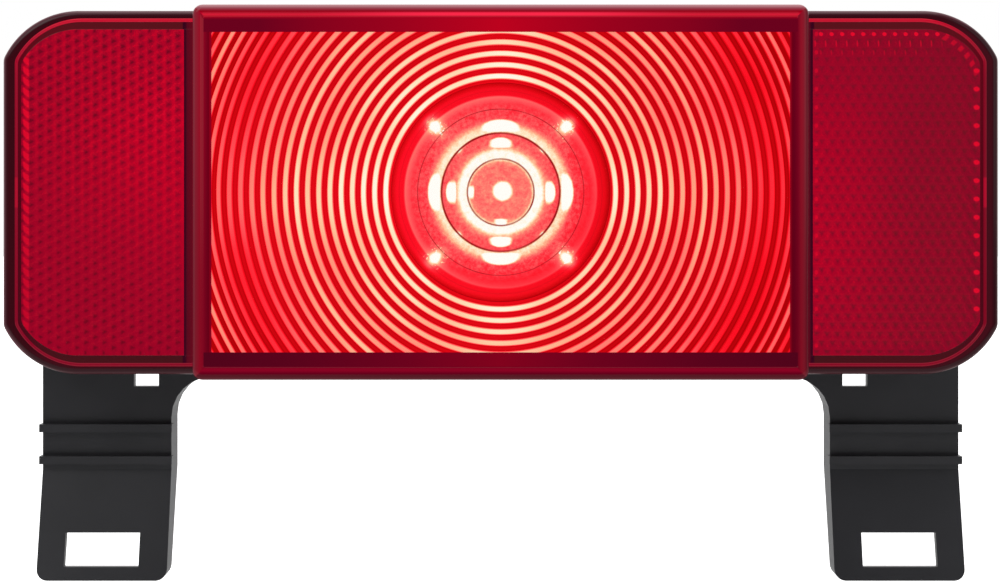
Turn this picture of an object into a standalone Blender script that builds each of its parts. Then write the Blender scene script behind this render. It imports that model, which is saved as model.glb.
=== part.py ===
"""Surface-mount trailer tail light with a licence plate bracket, in metres.

The light is modelled lying on its back: X to its right, Y up its face and Z out of the wall.
An empty then stands it up, so that in the world it faces -Y, +Z is up and the wall is the plane Y = 0.
"""

import math

import bmesh
import bpy
from mathutils import Matrix, Vector

MM = 0.001
GAP = 0.3 * MM  # clearance between neighbouring pieces

# Lens outline: a wide plate whose corners are arcs that the short sides cut off
LENS_WIDTH = 220 * MM
LENS_HEIGHT = 80.4 * MM
CORNER_RADIUS = 18.4 * MM
CORNER_TO_SIDE = 16.7 * MM  # from a corner arc's centre to the short side
CORNER_STEPS = 9
LENS_WALL = 2.2 * MM
LENS_EDGE = 1.4 * MM  # rounding round the front of the lens

# Raised window in the middle of the lens
WINDOW_WIDTH = 132.6 * MM
WINDOW_HEIGHT = 80.8 * MM
WINDOW_CORNER = 2.2 * MM
FLUTED_WIDTH = 125.4 * MM  # the lit field of rings inside the window's border
FLUTED_HEIGHT = 70.4 * MM

# Depths, measured out from the wall. BELOW and ABOVE lie clear of every piece, for cutters that go through.
BELOW = -5.0 * MM
ABOVE = 45.0 * MM
GASKET_FRONT = 2.0 * MM
BRACKET_BACK = GASKET_FRONT + GAP
BRACKET_FRONT = 9.0 * MM
BRACKET_PLATE = 2.4 * MM
BASE_BACK = BRACKET_FRONT + GAP
BASE_FLOOR = 12.0 * MM
UPSTAND_TOP = 18.0 * MM
SEAL_FRONT = BASE_FLOOR + GAP + 0.6 * MM
SKIRT_BACK = SEAL_FRONT + GAP
WING_FACE = 26.0 * MM
WINDOW_FACE = 38.0 * MM
POST_TOP = 16.0 * MM
BOARD_BACK = POST_TOP + GAP
BOARD_FRONT = BOARD_BACK + 1.6 * MM
ON_BOARD = BOARD_FRONT + GAP

# Mounting gasket: a foam pad behind the bracket's crossbar
GASKET_INSET = 2.0 * MM
GASKET_CORNER = 5.0 * MM

# Base tray
FLANGE_INSET = 0.6 * MM
UPSTAND_INSET = LENS_WALL + 0.4 * MM
UPSTAND_WALL = 2.0 * MM
FEATURE_ROOT = BASE_FLOOR - 0.5 * MM  # where raised features start, inside the floor
COLLAR_RADIUS = 5.5 * MM
COLLAR_TOP = 14.0 * MM
BASE_RIB_X = (62.0 * MM, 63.5 * MM)
BASE_RIB_HALF_HEIGHT = 36.0 * MM
BASE_RIB_TOP = 15.0 * MM
BOSS_RADIUS = 3.6 * MM
BOSS_TOP = 17.0 * MM
BOSS_HOLE_TOP = 15.5 * MM
HOOK_Y = (-38.8 * MM, -37.2 * MM)
HOOK_BACK = 5.6 * MM
POST_RADIUS = 3.2 * MM
POST_HOLE_BACK = 12.8 * MM
LATCH_HALF_HEIGHT = 3.65 * MM
LATCH_REACH = 0.25 * MM  # how far the latch tab stands out past the short side
LATCH_ROOT = 0.7 * MM  # and how far in from it the tab starts
LATCH_FRONT = 22.0 * MM
MOUNT_HOLE_X = 80 * MM
MOUNT_HOLE_RADIUS = 2.6 * MM
WIRE_HOLE_Y = -24 * MM
WIRE_HOLE_RADIUS = 7.2 * MM
BRACKET_SCREW = Vector((92 * MM, 18 * MM))
BRACKET_SCREW_RADIUS = 1.2 * MM

# Licence plate bracket
LEG_OUTER_X = 105 * MM
LEG_INNER_X = 75.5 * MM
LEG_BOTTOM_Y = -87.7 * MM
CROSSBAR_TOP_Y = 30 * MM
CROSSBAR_BOTTOM_Y = -42.2 * MM
BRACKET_WALL = 2.0 * MM
LEG_RIM_BACK = 0.4 * MM
BEND_Y = -63.4 * MM  # below this line the legs lean away from the wall
LEAN_FRONT = 0.28  # rise per unit of drop at the legs' front face
LEAN_BACK = 0.378  # the same at the rim's back edge, so the rim gets shallower
SLOT_X = (82.0 * MM, 98.9 * MM)
SLOT_Y = (-84.7 * MM, -77.3 * MM)
CATCH_X = (78.4 * MM, 84.1 * MM)
CATCH_Y = (-44.4 * MM, -36.8 * MM)
RIB_BANDS = ((-54.7 * MM, -52.9 * MM), (-62.0 * MM, -60.2 * MM))
RIB_HEIGHT = 2.0 * MM
RIB_OVERHANG = 0.4 * MM
FOOT_RADIUS = 2.5 * MM
THROAT_RADIUS = 9.3 * MM
SHOULDER_RADIUS = 6.0 * MM
GASKET_ROOM_BOTTOM_Y = -41.5 * MM

# Circuit board and what stands on it
BOARD_WIDTH = 96 * MM
BOARD_HEIGHT = 58 * MM
BOARD_CORNER = 3.0 * MM
BOARD_HOLE_RADIUS = 1.4 * MM
POST = Vector((43 * MM, 24 * MM))
BOARD_SCREW_RADIUS = 1.0 * MM
BOARD_SCREW_TIP = 13.2 * MM
BRACKET_SCREW_TIP = 15.0 * MM
SPREADER_RADIUS = 13.0 * MM
SPREADER_THICKNESS = 2.0 * MM
MAIN_LED_SIZE = 7.0 * MM
MAIN_LED_HEIGHT = 1.0 * MM
DOME_RADIUS = 2.1 * MM
SMALL_LED_HEIGHT = 1.9 * MM
TAIL_LED_XY = 15 * MM
HOLDER_LEG_RING = 25.6 * MM
HOLDER_LEG_RADIUS = 1.0 * MM
WIRE_RADIUS = 0.8 * MM
WIRE_DEPTH = 14.7 * MM  # where the leads cross the base's floor
WIRE_END = 0.6 * MM

# Optics
OPTIC_RADIUS = 24.3 * MM
OPTIC_BACK = 30.0 * MM
CONE_BACK = 23.0 * MM  # the small end of the cone behind the optic
OPTIC_ZONES = (7.35 * MM, 13.1 * MM, 18.3 * MM, 21.0 * MM)  # where its front face steps
FLUTE_BACK = 33.0 * MM
FLUTE_FLOOR = 34.3 * MM
FLUTE_CREST = 35.3 * MM
FLUTE_PITCH = 4.82 * MM
FLUTE_FIRST = 24.8 * MM
FLUTE_COUNT = 10
TRAY_BACK = 21.2 * MM
TRAY_FRONT = 31.8 * MM
TRAY_WALL = 1.2 * MM
TRAY_HALF_FRONT = (63.4 * MM, 35.6 * MM)
TRAY_HALF_BACK = (54.0 * MM, 31.0 * MM)
TRAY_HOLE_RADIUS = 27.6 * MM
TRAY_FOOT = Vector((38 * MM, 18 * MM))
TRAY_FOOT_RADIUS = 1.5 * MM
BAFFLE_X = (66.7 * MM, 68.2 * MM)
BAFFLE_HALF_HEIGHT = 38.6 * MM
BAFFLE_FRONT = 24.6 * MM
LICENCE_WINDOW_WIDTH = 40 * MM
LICENCE_WINDOW_DEPTH = (19.0 * MM, 27.0 * MM)

# Reflex reflector panels behind the two wings
REFLEX_INNER_X = 69.8 * MM
REFLEX_INSET = 3.0 * MM
REFLEX_FRONT = WING_FACE - LENS_WALL - GAP
REFLEX_THICKNESS = 1.8 * MM
BACKING_THICKNESS = 1.4 * MM

ROUND_STEPS = 16
OPTIC_STEPS = 36
FLUTE_STEPS = 48

SIDES = ((-1, "left"), (1, "right"))
CORNERS = ((-1, 1), (1, 1), (-1, -1), (1, -1))


# ---------------------------------------------------------------- scene and materials


def clear_scene():
    for obj in list(bpy.data.objects):
        bpy.data.objects.remove(obj)


def new_collection(name):
    made = bpy.data.collections.new(name)
    bpy.context.scene.collection.children.link(made)
    return made


def plastic(name, colour, roughness, metallic=0.0, transmission=0.0):
    made = bpy.data.materials.new(name)
    made.use_nodes = True
    shader = made.node_tree.nodes["Principled BSDF"]
    shader.inputs["Base Color"].default_value = (*colour, 1.0)
    shader.inputs["Roughness"].default_value = roughness
    shader.inputs["Metallic"].default_value = metallic
    shader.inputs["Transmission Weight"].default_value = transmission
    return made


def finish_part(obj, material, smooth_angle=35):
    """Gives a part its material and shading, and stands it up with the rest of the light."""
    obj.data.materials.clear()
    obj.data.materials.append(material)
    obj.data.shade_smooth()
    obj.data.set_sharp_from_angle(angle=math.radians(smooth_angle))
    parts.objects.link(obj)
    obj.parent = stand
    return obj


def as_cutter(obj):
    """Puts a shape that only cuts or joins others among the cutters, out of the render."""
    cutters.objects.link(obj)
    obj.parent = stand
    obj.hide_render = True
    obj.display_type = "WIRE"
    return obj


# ---------------------------------------------------------------- outlines


def rounded(corners, steps=6):
    """A closed outline from (x, y, radius) corners, each rounded by an arc of its own radius."""
    points = []
    for i, (x, y, radius) in enumerate(corners):
        here = Vector((x, y))
        before = Vector(corners[i - 1][:2])
        after = Vector(corners[(i + 1) % len(corners)][:2])
        inward, outward = (before - here).normalized(), (after - here).normalized()
        half = inward.angle(outward) / 2
        centre = here + (inward + outward).normalized() * radius / math.sin(half)
        start = here + inward * radius / math.tan(half) - centre
        end = here + outward * radius / math.tan(half) - centre
        sweep = start.angle_signed(end)
        for k in range(steps + 1):
            turned = start.copy()
            turned.rotate(Matrix.Rotation(-sweep * k / steps, 2))
            points.append(centre + turned)
    return points


def rectangle(width, height, radius, centre=(0, 0)):
    cx, cy = centre
    x, y = width / 2, height / 2
    return rounded([(cx + sx * x, cy + sy * y, radius) for sx, sy in ((-1, 1), (1, 1), (1, -1), (-1, -1))])


def both_ways(side, start, end):
    """A span of X on one side of the middle, as (low, high)."""
    return sorted((side * start, side * end))


def circle(radius, centre=(0, 0), steps=ROUND_STEPS):
    angles = [2 * math.pi * k / steps for k in range(steps)]
    return [Vector(centre) + radius * Vector((math.cos(a), math.sin(a))) for a in angles]


def lens_corner(inset):
    """The top right corner, from the top edge to the point where the short side cuts the arc."""
    radius = CORNER_RADIUS - inset
    centre = Vector((LENS_WIDTH / 2 - CORNER_TO_SIDE, LENS_HEIGHT / 2 - CORNER_RADIUS))
    last = math.acos((CORNER_TO_SIDE - inset) / radius)
    angles = [math.pi / 2 + (last - math.pi / 2) * k / CORNER_STEPS for k in range(CORNER_STEPS + 1)]
    return [centre + radius * Vector((math.cos(a), math.sin(a))) for a in angles]


def mirrored(points, x, y):
    """The points mirrored by the signs x and y, in the order that keeps an outline running one way."""
    flipped = [Vector((p.x * x, p.y * y)) for p in points]
    return flipped if x * y > 0 else flipped[::-1]


def lens_outline(inset=0.0):
    corner = lens_corner(inset)
    return [p for x, y in ((1, 1), (1, -1), (-1, -1), (-1, 1)) for p in mirrored(corner, x, y)]


def wing_panel_outline(side, inset):
    """One wing of the lens outline, from REFLEX_INNER_X out to the short side."""
    corner = lens_corner(inset)
    edge_y = LENS_HEIGHT / 2 - inset
    points = [Vector((REFLEX_INNER_X, edge_y)), *corner, *mirrored(corner, 1, -1)]
    points.append(Vector((REFLEX_INNER_X, -edge_y)))
    return mirrored(points, side, 1)


def bracket_outline(inset=0.0):
    """An upside-down U: a crossbar behind the light and two legs below it."""
    outer, inner = LEG_OUTER_X - inset, LEG_INNER_X + inset
    top, under, bottom = CROSSBAR_TOP_Y - inset, CROSSBAR_BOTTOM_Y + inset, LEG_BOTTOM_Y + inset
    foot = max(FOOT_RADIUS - inset, 0.3 * MM)
    throat, shoulder = THROAT_RADIUS + inset, SHOULDER_RADIUS - inset
    half = [(outer, top, shoulder), (outer, bottom, foot), (inner, bottom, foot), (inner, under, throat)]
    return rounded(half + [(-x, y, r) for x, y, r in reversed(half)])


# ---------------------------------------------------------------- solids


def mesh_object(name, bm):
    mesh = bpy.data.meshes.new(name)
    bm.to_mesh(mesh)
    bm.free()
    return bpy.data.objects.new(name, mesh)


def curve_to_mesh(name, curve, depth=0.0):
    """The curve's surface as one welded mesh, moved out from the wall by depth."""
    drawn = bpy.data.objects.new(name + "_curve", curve)
    bpy.context.scene.collection.objects.link(drawn)
    graph = bpy.context.evaluated_depsgraph_get()
    mesh = bpy.data.meshes.new_from_object(drawn.evaluated_get(graph))
    bpy.data.objects.remove(drawn)
    bm = bmesh.new()
    bm.from_mesh(mesh)
    bpy.data.meshes.remove(mesh)
    bmesh.ops.remove_doubles(bm, verts=bm.verts, dist=0.001 * MM)
    bmesh.ops.translate(bm, verts=bm.verts, vec=(0, 0, depth))
    bmesh.ops.recalc_face_normals(bm, faces=bm.faces)
    return mesh_object(name, bm)


def plate(name, back, front, outline, *holes):
    """A flat sheet between two depths, from a filled 2D curve whose further splines are holes."""
    curve = bpy.data.curves.new(name, "CURVE")
    curve.dimensions = "2D"
    curve.fill_mode = "BOTH"
    curve.extrude = (front - back) / 2
    for loop in (outline, *holes):
        spline = curve.splines.new("POLY")
        spline.points.add(len(loop) - 1)
        spline.use_cyclic_u = True
        for point, place in zip(spline.points, loop):
            point.co = (place[0], place[1], 0, 1)
    return curve_to_mesh(name, curve, (front + back) / 2)


def block(name, x, y, z):
    """A box between two corners, given as (low, high) along each axis."""
    bm = bmesh.new()
    bmesh.ops.create_cube(bm, size=1)
    low, high = Vector(p[0] for p in (x, y, z)), Vector(p[1] for p in (x, y, z))
    bmesh.ops.scale(bm, verts=bm.verts, vec=high - low)
    bmesh.ops.translate(bm, verts=bm.verts, vec=(low + high) / 2)
    return mesh_object(name, bm)


def rod(name, radius, back, front, centre=(0, 0), steps=ROUND_STEPS):
    """A round bar along Z between two depths."""
    bm = bmesh.new()
    bmesh.ops.create_cone(
        bm, cap_ends=True, segments=steps, radius1=radius, radius2=radius, depth=front - back
    )
    bmesh.ops.translate(bm, verts=bm.verts, vec=(*centre, (front + back) / 2))
    return mesh_object(name, bm)


def turned(name, profile, steps, closed=False, centre=(0, 0)):
    """A shape turned about Z. The profile is (radius, depth) points down its outer side."""
    mesh = bpy.data.meshes.new(name)
    edges = [(i, i + 1) for i in range(len(profile) - 1)]
    if closed:
        edges.append((len(profile) - 1, 0))
    mesh.from_pydata([(r, 0, z) for r, z in profile], edges, [])
    obj = bpy.data.objects.new(name, mesh)
    obj.location = (*centre, 0)
    screw = obj.modifiers.new("turn", "SCREW")
    screw.steps = screw.render_steps = steps
    screw.use_merge_vertices = True
    screw.merge_threshold = 0.01 * MM
    return obj


def tube(name, points, radius):
    """A wire that follows points, as a curve with a round bevel and closed ends."""
    curve = bpy.data.curves.new(name, "CURVE")
    curve.dimensions = "3D"
    curve.bevel_depth = radius
    curve.bevel_resolution = 2
    curve.use_fill_caps = True
    spline = curve.splines.new("POLY")
    spline.points.add(len(points) - 1)
    for point, place in zip(spline.points, points):
        point.co = (*place, 1)
    return curve_to_mesh(name, curve)


def boolean(obj, tool, operation):
    as_cutter(tool)
    modifier = obj.modifiers.new(tool.name, "BOOLEAN")
    modifier.operation = operation
    modifier.object = tool
    modifier.solver = "EXACT"


def cut(obj, *tools):
    for tool in tools:
        boolean(obj, tool, "DIFFERENCE")


def join(obj, *tools):
    for tool in tools:
        boolean(obj, tool, "UNION")


def apply_modifiers(obj):
    """Makes the object's mesh what its modifiers give, for an edit that needs the final vertices."""
    bpy.context.scene.collection.objects.link(obj)
    obj.parent = stand
    graph = bpy.context.evaluated_depsgraph_get()
    mesh = bpy.data.meshes.new_from_object(obj.evaluated_get(graph))
    bpy.context.scene.collection.objects.unlink(obj)
    obj.modifiers.clear()
    obj.data = mesh


def round_front_edges(obj, radius, segments=2):
    """Rounds the edges round a plate's front face."""
    bm = bmesh.new()
    bm.from_mesh(obj.data)
    front = max(v.co.z for v in bm.verts)
    rim = [
        e
        for e in bm.edges
        if all(front - v.co.z < 0.01 * MM for v in e.verts) and e.calc_face_angle(0) > math.radians(60)
    ]
    bmesh.ops.bevel(bm, geom=rim, offset=radius, segments=segments, profile=0.5, affect="EDGES")
    bm.to_mesh(obj.data)
    bm.free()


# ---------------------------------------------------------------- housing


def make_mounting_gasket():
    width = 2 * (LEG_OUTER_X - GASKET_INSET)
    height = CROSSBAR_TOP_Y - CROSSBAR_BOTTOM_Y - 2 * GASKET_INSET
    outline = rectangle(width, height, GASKET_CORNER, (0, (CROSSBAR_TOP_Y + CROSSBAR_BOTTOM_Y) / 2))
    holes = [circle(MOUNT_HOLE_RADIUS + MM, (side * MOUNT_HOLE_X, 0)) for side in (-1, 1)]
    holes.append(circle(WIRE_HOLE_RADIUS + 2 * MM, (0, WIRE_HOLE_Y)))
    finish_part(plate("mounting_gasket", 0, GASKET_FRONT, outline, *holes), foam)


def lean_legs_forward(obj):
    """Bends both legs at BEND_Y, so that their feet stand further from the wall than their tops."""
    bm = bmesh.new()
    bm.from_mesh(obj.data)
    everything = bm.verts[:] + bm.edges[:] + bm.faces[:]
    bmesh.ops.bisect_plane(bm, geom=everything, plane_co=(0, BEND_Y, 0), plane_no=(0, 1, 0), dist=0.001 * MM)
    for v in bm.verts:
        drop = BEND_Y - v.co.y
        if drop > 0:
            share = (v.co.z - LEG_RIM_BACK) / (BRACKET_FRONT - LEG_RIM_BACK)
            v.co.z += drop * (LEAN_BACK + (LEAN_FRONT - LEAN_BACK) * share)
    bmesh.ops.triangulate(bm, faces=bm.faces)
    bm.to_mesh(obj.data)
    bm.free()


def make_licence_bracket():
    bracket = plate("licence_bracket", LEG_RIM_BACK, BRACKET_FRONT, bracket_outline())
    hollow = plate("bracket_hollow", BELOW, BRACKET_FRONT - BRACKET_PLATE, bracket_outline(BRACKET_WALL))
    room_x = (-LENS_WIDTH, LENS_WIDTH)
    room_y = (GASKET_ROOM_BOTTOM_Y, LENS_HEIGHT)
    gasket_room = block("bracket_gasket_room", room_x, room_y, (BELOW, BRACKET_BACK))
    cut(bracket, hollow, gasket_room)
    apply_modifiers(bracket)
    lean_legs_forward(bracket)
    through = (BELOW, ABOVE)
    for side, label in SIDES:
        for i, band in enumerate(RIB_BANDS):
            ends = both_ways(side, LEG_INNER_X - RIB_OVERHANG, LEG_OUTER_X + RIB_OVERHANG)
            depth = (BRACKET_FRONT - MM, BRACKET_FRONT + RIB_HEIGHT)
            join(bracket, block(f"bracket_rib_{label}_{i + 1}", ends, band, depth))
        for what, x, y in (("slot", SLOT_X, SLOT_Y), ("catch", CATCH_X, CATCH_Y)):
            cut(bracket, block(f"bracket_{what}_{label}", both_ways(side, *x), y, through))
        mount = (side * MOUNT_HOLE_X, 0)
        cut(bracket, rod(f"bracket_mount_hole_{label}", MOUNT_HOLE_RADIUS + 0.4 * MM, *through, mount))
        screw = (side * BRACKET_SCREW.x, BRACKET_SCREW.y)
        cut(bracket, rod(f"bracket_screw_hole_{label}", BRACKET_SCREW_RADIUS + GAP, *through, screw))
    cut(bracket, rod("bracket_wire_hole", WIRE_HOLE_RADIUS + 2 * MM, *through, (0, WIRE_HOLE_Y)))
    finish_part(bracket, black_plastic)


def make_base_housing():
    """A tray: a flange as wide as the lens, an upstand inside the lens's skirt, and posts for the board."""
    wire_hole = circle(WIRE_HOLE_RADIUS, (0, WIRE_HOLE_Y))
    base = plate("base_housing", BASE_BACK, BASE_FLOOR, lens_outline(FLANGE_INSET), wire_hole)
    inner = lens_outline(UPSTAND_INSET + UPSTAND_WALL)
    join(base, plate("base_upstand", FEATURE_ROOT, UPSTAND_TOP, lens_outline(UPSTAND_INSET), inner))
    for side, label in SIDES:
        mount = (side * MOUNT_HOLE_X, 0)
        collar = rod(f"base_collar_{label}", COLLAR_RADIUS, FEATURE_ROOT, COLLAR_TOP, mount)
        rib_y = (-BASE_RIB_HALF_HEIGHT, BASE_RIB_HALF_HEIGHT)
        rib = block(f"base_rib_{label}", both_ways(side, *BASE_RIB_X), rib_y, (FEATURE_ROOT, BASE_RIB_TOP))
        hook_x = both_ways(side, CATCH_X[0] + 2 * GAP, CATCH_X[1] - 2 * GAP)
        hook = block(f"base_hook_{label}", hook_x, HOOK_Y, (HOOK_BACK, BASE_BACK + MM))
        screw = (side * BRACKET_SCREW.x, BRACKET_SCREW.y)
        boss = rod(f"base_boss_{label}", BOSS_RADIUS, FEATURE_ROOT, BOSS_TOP, screw)
        join(base, collar, rib, hook, boss)
        cut(base, rod(f"base_mount_hole_{label}", MOUNT_HOLE_RADIUS, BELOW, ABOVE, mount))
        screw_hole = BRACKET_SCREW_RADIUS + GAP
        cut(base, rod(f"base_screw_hole_{label}", screw_hole, BELOW, BOSS_HOLE_TOP, screw))
        notch_x = both_ways(side, LENS_WIDTH / 2 - LATCH_ROOT - GAP, LENS_WIDTH)
        notch_y = (-LATCH_HALF_HEIGHT - GAP, LATCH_HALF_HEIGHT + GAP)
        cut(base, block(f"base_notch_{label}", notch_x, notch_y, (BELOW, BASE_FLOOR + MM)))
        for end, height in ((-1, "low"), (1, "high")):
            place = (side * POST.x, end * POST.y)
            join(base, rod(f"base_post_{label}_{height}", POST_RADIUS, FEATURE_ROOT, POST_TOP, place))
            bore = f"base_post_hole_{label}_{height}"
            cut(base, rod(bore, BOARD_SCREW_RADIUS + GAP, POST_HOLE_BACK, ABOVE, place))
    finish_part(base, black_plastic)


def make_lens_seal():
    """A flat rubber ring between the base's flange and the lens's skirt."""
    outer, inner = lens_outline(1.0 * MM), lens_outline(2.0 * MM)
    finish_part(plate("lens_seal", BASE_FLOOR + GAP, SEAL_FRONT, outer, inner), rubber)


def make_wire_grommet():
    bore, neck, lip = 3.6 * MM, WIRE_HOLE_RADIUS - GAP, WIRE_HOLE_RADIUS + 1.4 * MM
    front, back = BASE_FLOOR + 1.5 * MM, BASE_BACK - 1.7 * MM
    profile = [
        (bore, front),
        (lip, front),
        (lip, BASE_FLOOR + GAP),
        (neck, BASE_FLOOR + GAP),
        (neck, BASE_BACK - GAP),
        (lip, BASE_BACK - GAP),
        (lip, back),
        (bore, back),
    ]
    finish_part(turned("wire_grommet", profile, ROUND_STEPS, closed=True, centre=(0, WIRE_HOLE_Y)), rubber)


def make_screw(name, centre, head_radius, head, shank_radius, shank, points_back):
    """A pan-head screw along Z with a cross recess. head and shank are (back, front) depths."""
    screw = rod(name, head_radius, *head, centre, 16)
    overlap = 0.2 * MM
    reach = (shank[0], shank[1] + overlap) if points_back else (shank[0] - overlap, shank[1])
    join(screw, rod(name + "_shank", shank_radius, *reach, centre, 12))
    face = head[1] if points_back else head[0]
    depth = (face - 0.8 * MM, face + MM) if points_back else (face - MM, face + 0.8 * MM)
    long, thin = 0.65 * head_radius, 0.2 * head_radius
    for arm, (half_x, half_y) in (("a", (long, thin)), ("b", (thin, long))):
        x = (centre[0] - half_x, centre[0] + half_x)
        y = (centre[1] - half_y, centre[1] + half_y)
        cut(screw, block(f"{name}_recess_{arm}", x, y, depth))
    finish_part(screw, steel)


def make_screws():
    for i, (x, y) in enumerate(CORNERS):
        place = (x * POST.x, y * POST.y)
        head = (ON_BOARD, ON_BOARD + 1.5 * MM)
        shank = (BOARD_SCREW_TIP, ON_BOARD)
        make_screw(f"board_screw_{i + 1}", place, 2.3 * MM, head, BOARD_SCREW_RADIUS, shank, True)
    seat = BRACKET_FRONT - BRACKET_PLATE - GAP
    for side, label in SIDES:
        place = (side * BRACKET_SCREW.x, BRACKET_SCREW.y)
        head = (seat - 1.6 * MM, seat)
        shank = (seat, BRACKET_SCREW_TIP)
        make_screw(f"bracket_screw_{label}", place, 2.9 * MM, head, BRACKET_SCREW_RADIUS, shank, False)


# ---------------------------------------------------------------- electronics


def make_circuit_board():
    holes = [circle(BOARD_HOLE_RADIUS, (x * POST.x, y * POST.y)) for x, y in CORNERS]
    outline = rectangle(BOARD_WIDTH, BOARD_HEIGHT, BOARD_CORNER)
    finish_part(plate("circuit_board", BOARD_BACK, BOARD_FRONT, outline, *holes), board_white)
    front = BOARD_BACK - GAP
    spreader = rod("heat_spreader", SPREADER_RADIUS, front - SPREADER_THICKNESS, front, steps=32)
    finish_part(spreader, aluminium)


def component(name, size, centre, height, material, base=ON_BOARD):
    """A chip-like block that stands on the board."""
    x = (centre[0] - size[0] / 2, centre[0] + size[0] / 2)
    y = (centre[1] - size[1] / 2, centre[1] + size[1] / 2)
    finish_part(block(name, x, y, (base, base + height)), material)


def make_leds():
    component("main_led_package", (MAIN_LED_SIZE, MAIN_LED_SIZE), (0, 0), MAIN_LED_HEIGHT, ceramic_white)
    start = ON_BOARD + MAIN_LED_HEIGHT + GAP
    angles = [math.pi / 2 * k / 6 for k in range(7)]
    profile = [(DOME_RADIUS * math.sin(a), start + DOME_RADIUS * math.cos(a)) for a in angles]
    finish_part(turned("main_led_dome", [*profile, (0, start)], ROUND_STEPS), clear_lens)
    for i, (x, y) in enumerate(CORNERS):
        place = (x * TAIL_LED_XY, y * TAIL_LED_XY)
        component(f"tail_led_{i + 1}", (3.5 * MM, 3.5 * MM), place, SMALL_LED_HEIGHT, ceramic_white)
    for side, label in SIDES:
        place = (side * 12 * MM, -BOARD_HEIGHT / 2 + 1.6 * MM)
        component(f"licence_led_{label}", (4 * MM, 2.2 * MM), place, SMALL_LED_HEIGHT, ceramic_white)


def make_components():
    """The driver's parts: chips and a capacitor right of the optic, diodes and resistors left of it."""
    right, left = 36 * MM, -36 * MM
    component("driver_chip", (5 * MM, 6.2 * MM), (right, 4 * MM), 1.6 * MM, chip_black)
    for i in range(2):
        place = (left, (8 - 5 * i) * MM)
        component(f"rectifier_diode_{i + 1}", (4.4 * MM, 2.6 * MM), place, 1.8 * MM, chip_black)
    for i in range(4):
        place = (left, (-4 - 3.4 * i) * MM)
        component(f"resistor_{i + 1}", (3.2 * MM, 1.7 * MM), place, 0.7 * MM, chip_black)
    finish_part(rod("capacitor", 2.2 * MM, ON_BOARD, ON_BOARD + 2.4 * MM, (right, -8 * MM), 20), aluminium)
    size, place, height = (10 * MM, 9 * MM), (27 * MM, -16 * MM), 3 * MM
    component("wire_connector", size, place, height, connector_white, BOARD_BACK - GAP - height)


def make_wires():
    """Three leads from the connector, over the base's floor and back out through the grommet."""
    leads = (("stop_turn_wire", red_wire), ("tail_wire", brown_wire), ("ground_wire", white_wire))
    for i, (name, insulation) in enumerate(leads):
        row = (-13.4 - 2.6 * i) * MM
        out_y = WIRE_HOLE_Y + 2.2 * (1 - i) * MM
        path = [
            (21.6 * MM, row, WIRE_DEPTH),
            (17 * MM, row, WIRE_DEPTH),
            (4 * MM, out_y, WIRE_DEPTH),
            (2.2 * MM, out_y, WIRE_DEPTH),
            (0.6 * MM, out_y, WIRE_DEPTH - 0.5 * MM),
            (0, out_y, WIRE_DEPTH - 1.9 * MM),
            (0, out_y, WIRE_END),
        ]
        finish_part(tube(name, path, WIRE_RADIUS), insulation)


# ---------------------------------------------------------------- optics


def make_collimator_lens():
    """A stepped magnifier in front with a cone behind it that gathers the main LED's light."""
    profile = []
    inner = 0.0
    for i, outer in enumerate(OPTIC_ZONES):
        high, low = (35.2 - 0.35 * i) * MM, (34.3 - 0.25 * i) * MM
        riser = 0 if i == 0 else 0.15 * MM
        profile.append((inner + riser, high))
        profile.append(((inner + outer) / 2, high * 0.6 + low * 0.4))
        profile.append((outer, low))
        inner = outer
    profile += [
        (OPTIC_RADIUS, 33.2 * MM),
        (OPTIC_RADIUS, OPTIC_BACK),
        (11 * MM, OPTIC_BACK),
        (5.5 * MM, CONE_BACK),
        (3.2 * MM, CONE_BACK),
        (2.6 * MM, 26.4 * MM),
        (0, 27.2 * MM),
    ]
    finish_part(turned("collimator_lens", profile, OPTIC_STEPS), clear_lens)


def make_optic_holder():
    """A ring whose ledge carries the optic, on three legs that stand on the board."""
    outer, seat, ledge = 26.8 * MM, OPTIC_RADIUS + GAP, 22.6 * MM
    top, ledge_top, back = FLUTE_BACK - GAP, OPTIC_BACK - GAP, 28.3 * MM
    profile = [(seat, top), (outer, top), (outer, back), (ledge, back), (ledge, ledge_top), (seat, ledge_top)]
    holder = turned("optic_holder", profile, OPTIC_STEPS, closed=True)
    for i in range(3):
        angle = math.radians(90 + 120 * i)
        place = (HOLDER_LEG_RING * math.cos(angle), HOLDER_LEG_RING * math.sin(angle))
        join(holder, rod(f"holder_leg_{i + 1}", HOLDER_LEG_RADIUS, ON_BOARD, back + MM, place, 12))
    finish_part(holder, black_plastic)


def make_reflector_tray():
    """A flared white tray round the optic, which throws the light forward into the rings."""
    bm = bmesh.new()
    bmesh.ops.create_cube(bm, size=1)
    opening = [f for f in bm.faces if f.normal.z > 0.9]
    bmesh.ops.delete(bm, geom=opening, context="FACES")
    for v in bm.verts:
        x, y = TRAY_HALF_FRONT if v.co.z > 0 else TRAY_HALF_BACK
        depth = TRAY_FRONT if v.co.z > 0 else TRAY_BACK
        v.co = (math.copysign(x, v.co.x), math.copysign(y, v.co.y), depth)
    tray = mesh_object("reflector_tray", bm)
    wall = tray.modifiers.new("wall", "SOLIDIFY")
    wall.thickness = TRAY_WALL
    wall.use_even_offset = True
    for i, (x, y) in enumerate(CORNERS):
        place = (x * TRAY_FOOT.x, y * TRAY_FOOT.y)
        foot_top = TRAY_BACK + TRAY_WALL / 2
        join(tray, rod(f"tray_foot_{i + 1}", TRAY_FOOT_RADIUS, ON_BOARD, foot_top, place, 12))
    cut(tray, rod("tray_opening", TRAY_HOLE_RADIUS, BELOW, TRAY_FRONT, steps=OPTIC_STEPS))
    finish_part(tray, reflector_white)


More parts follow.
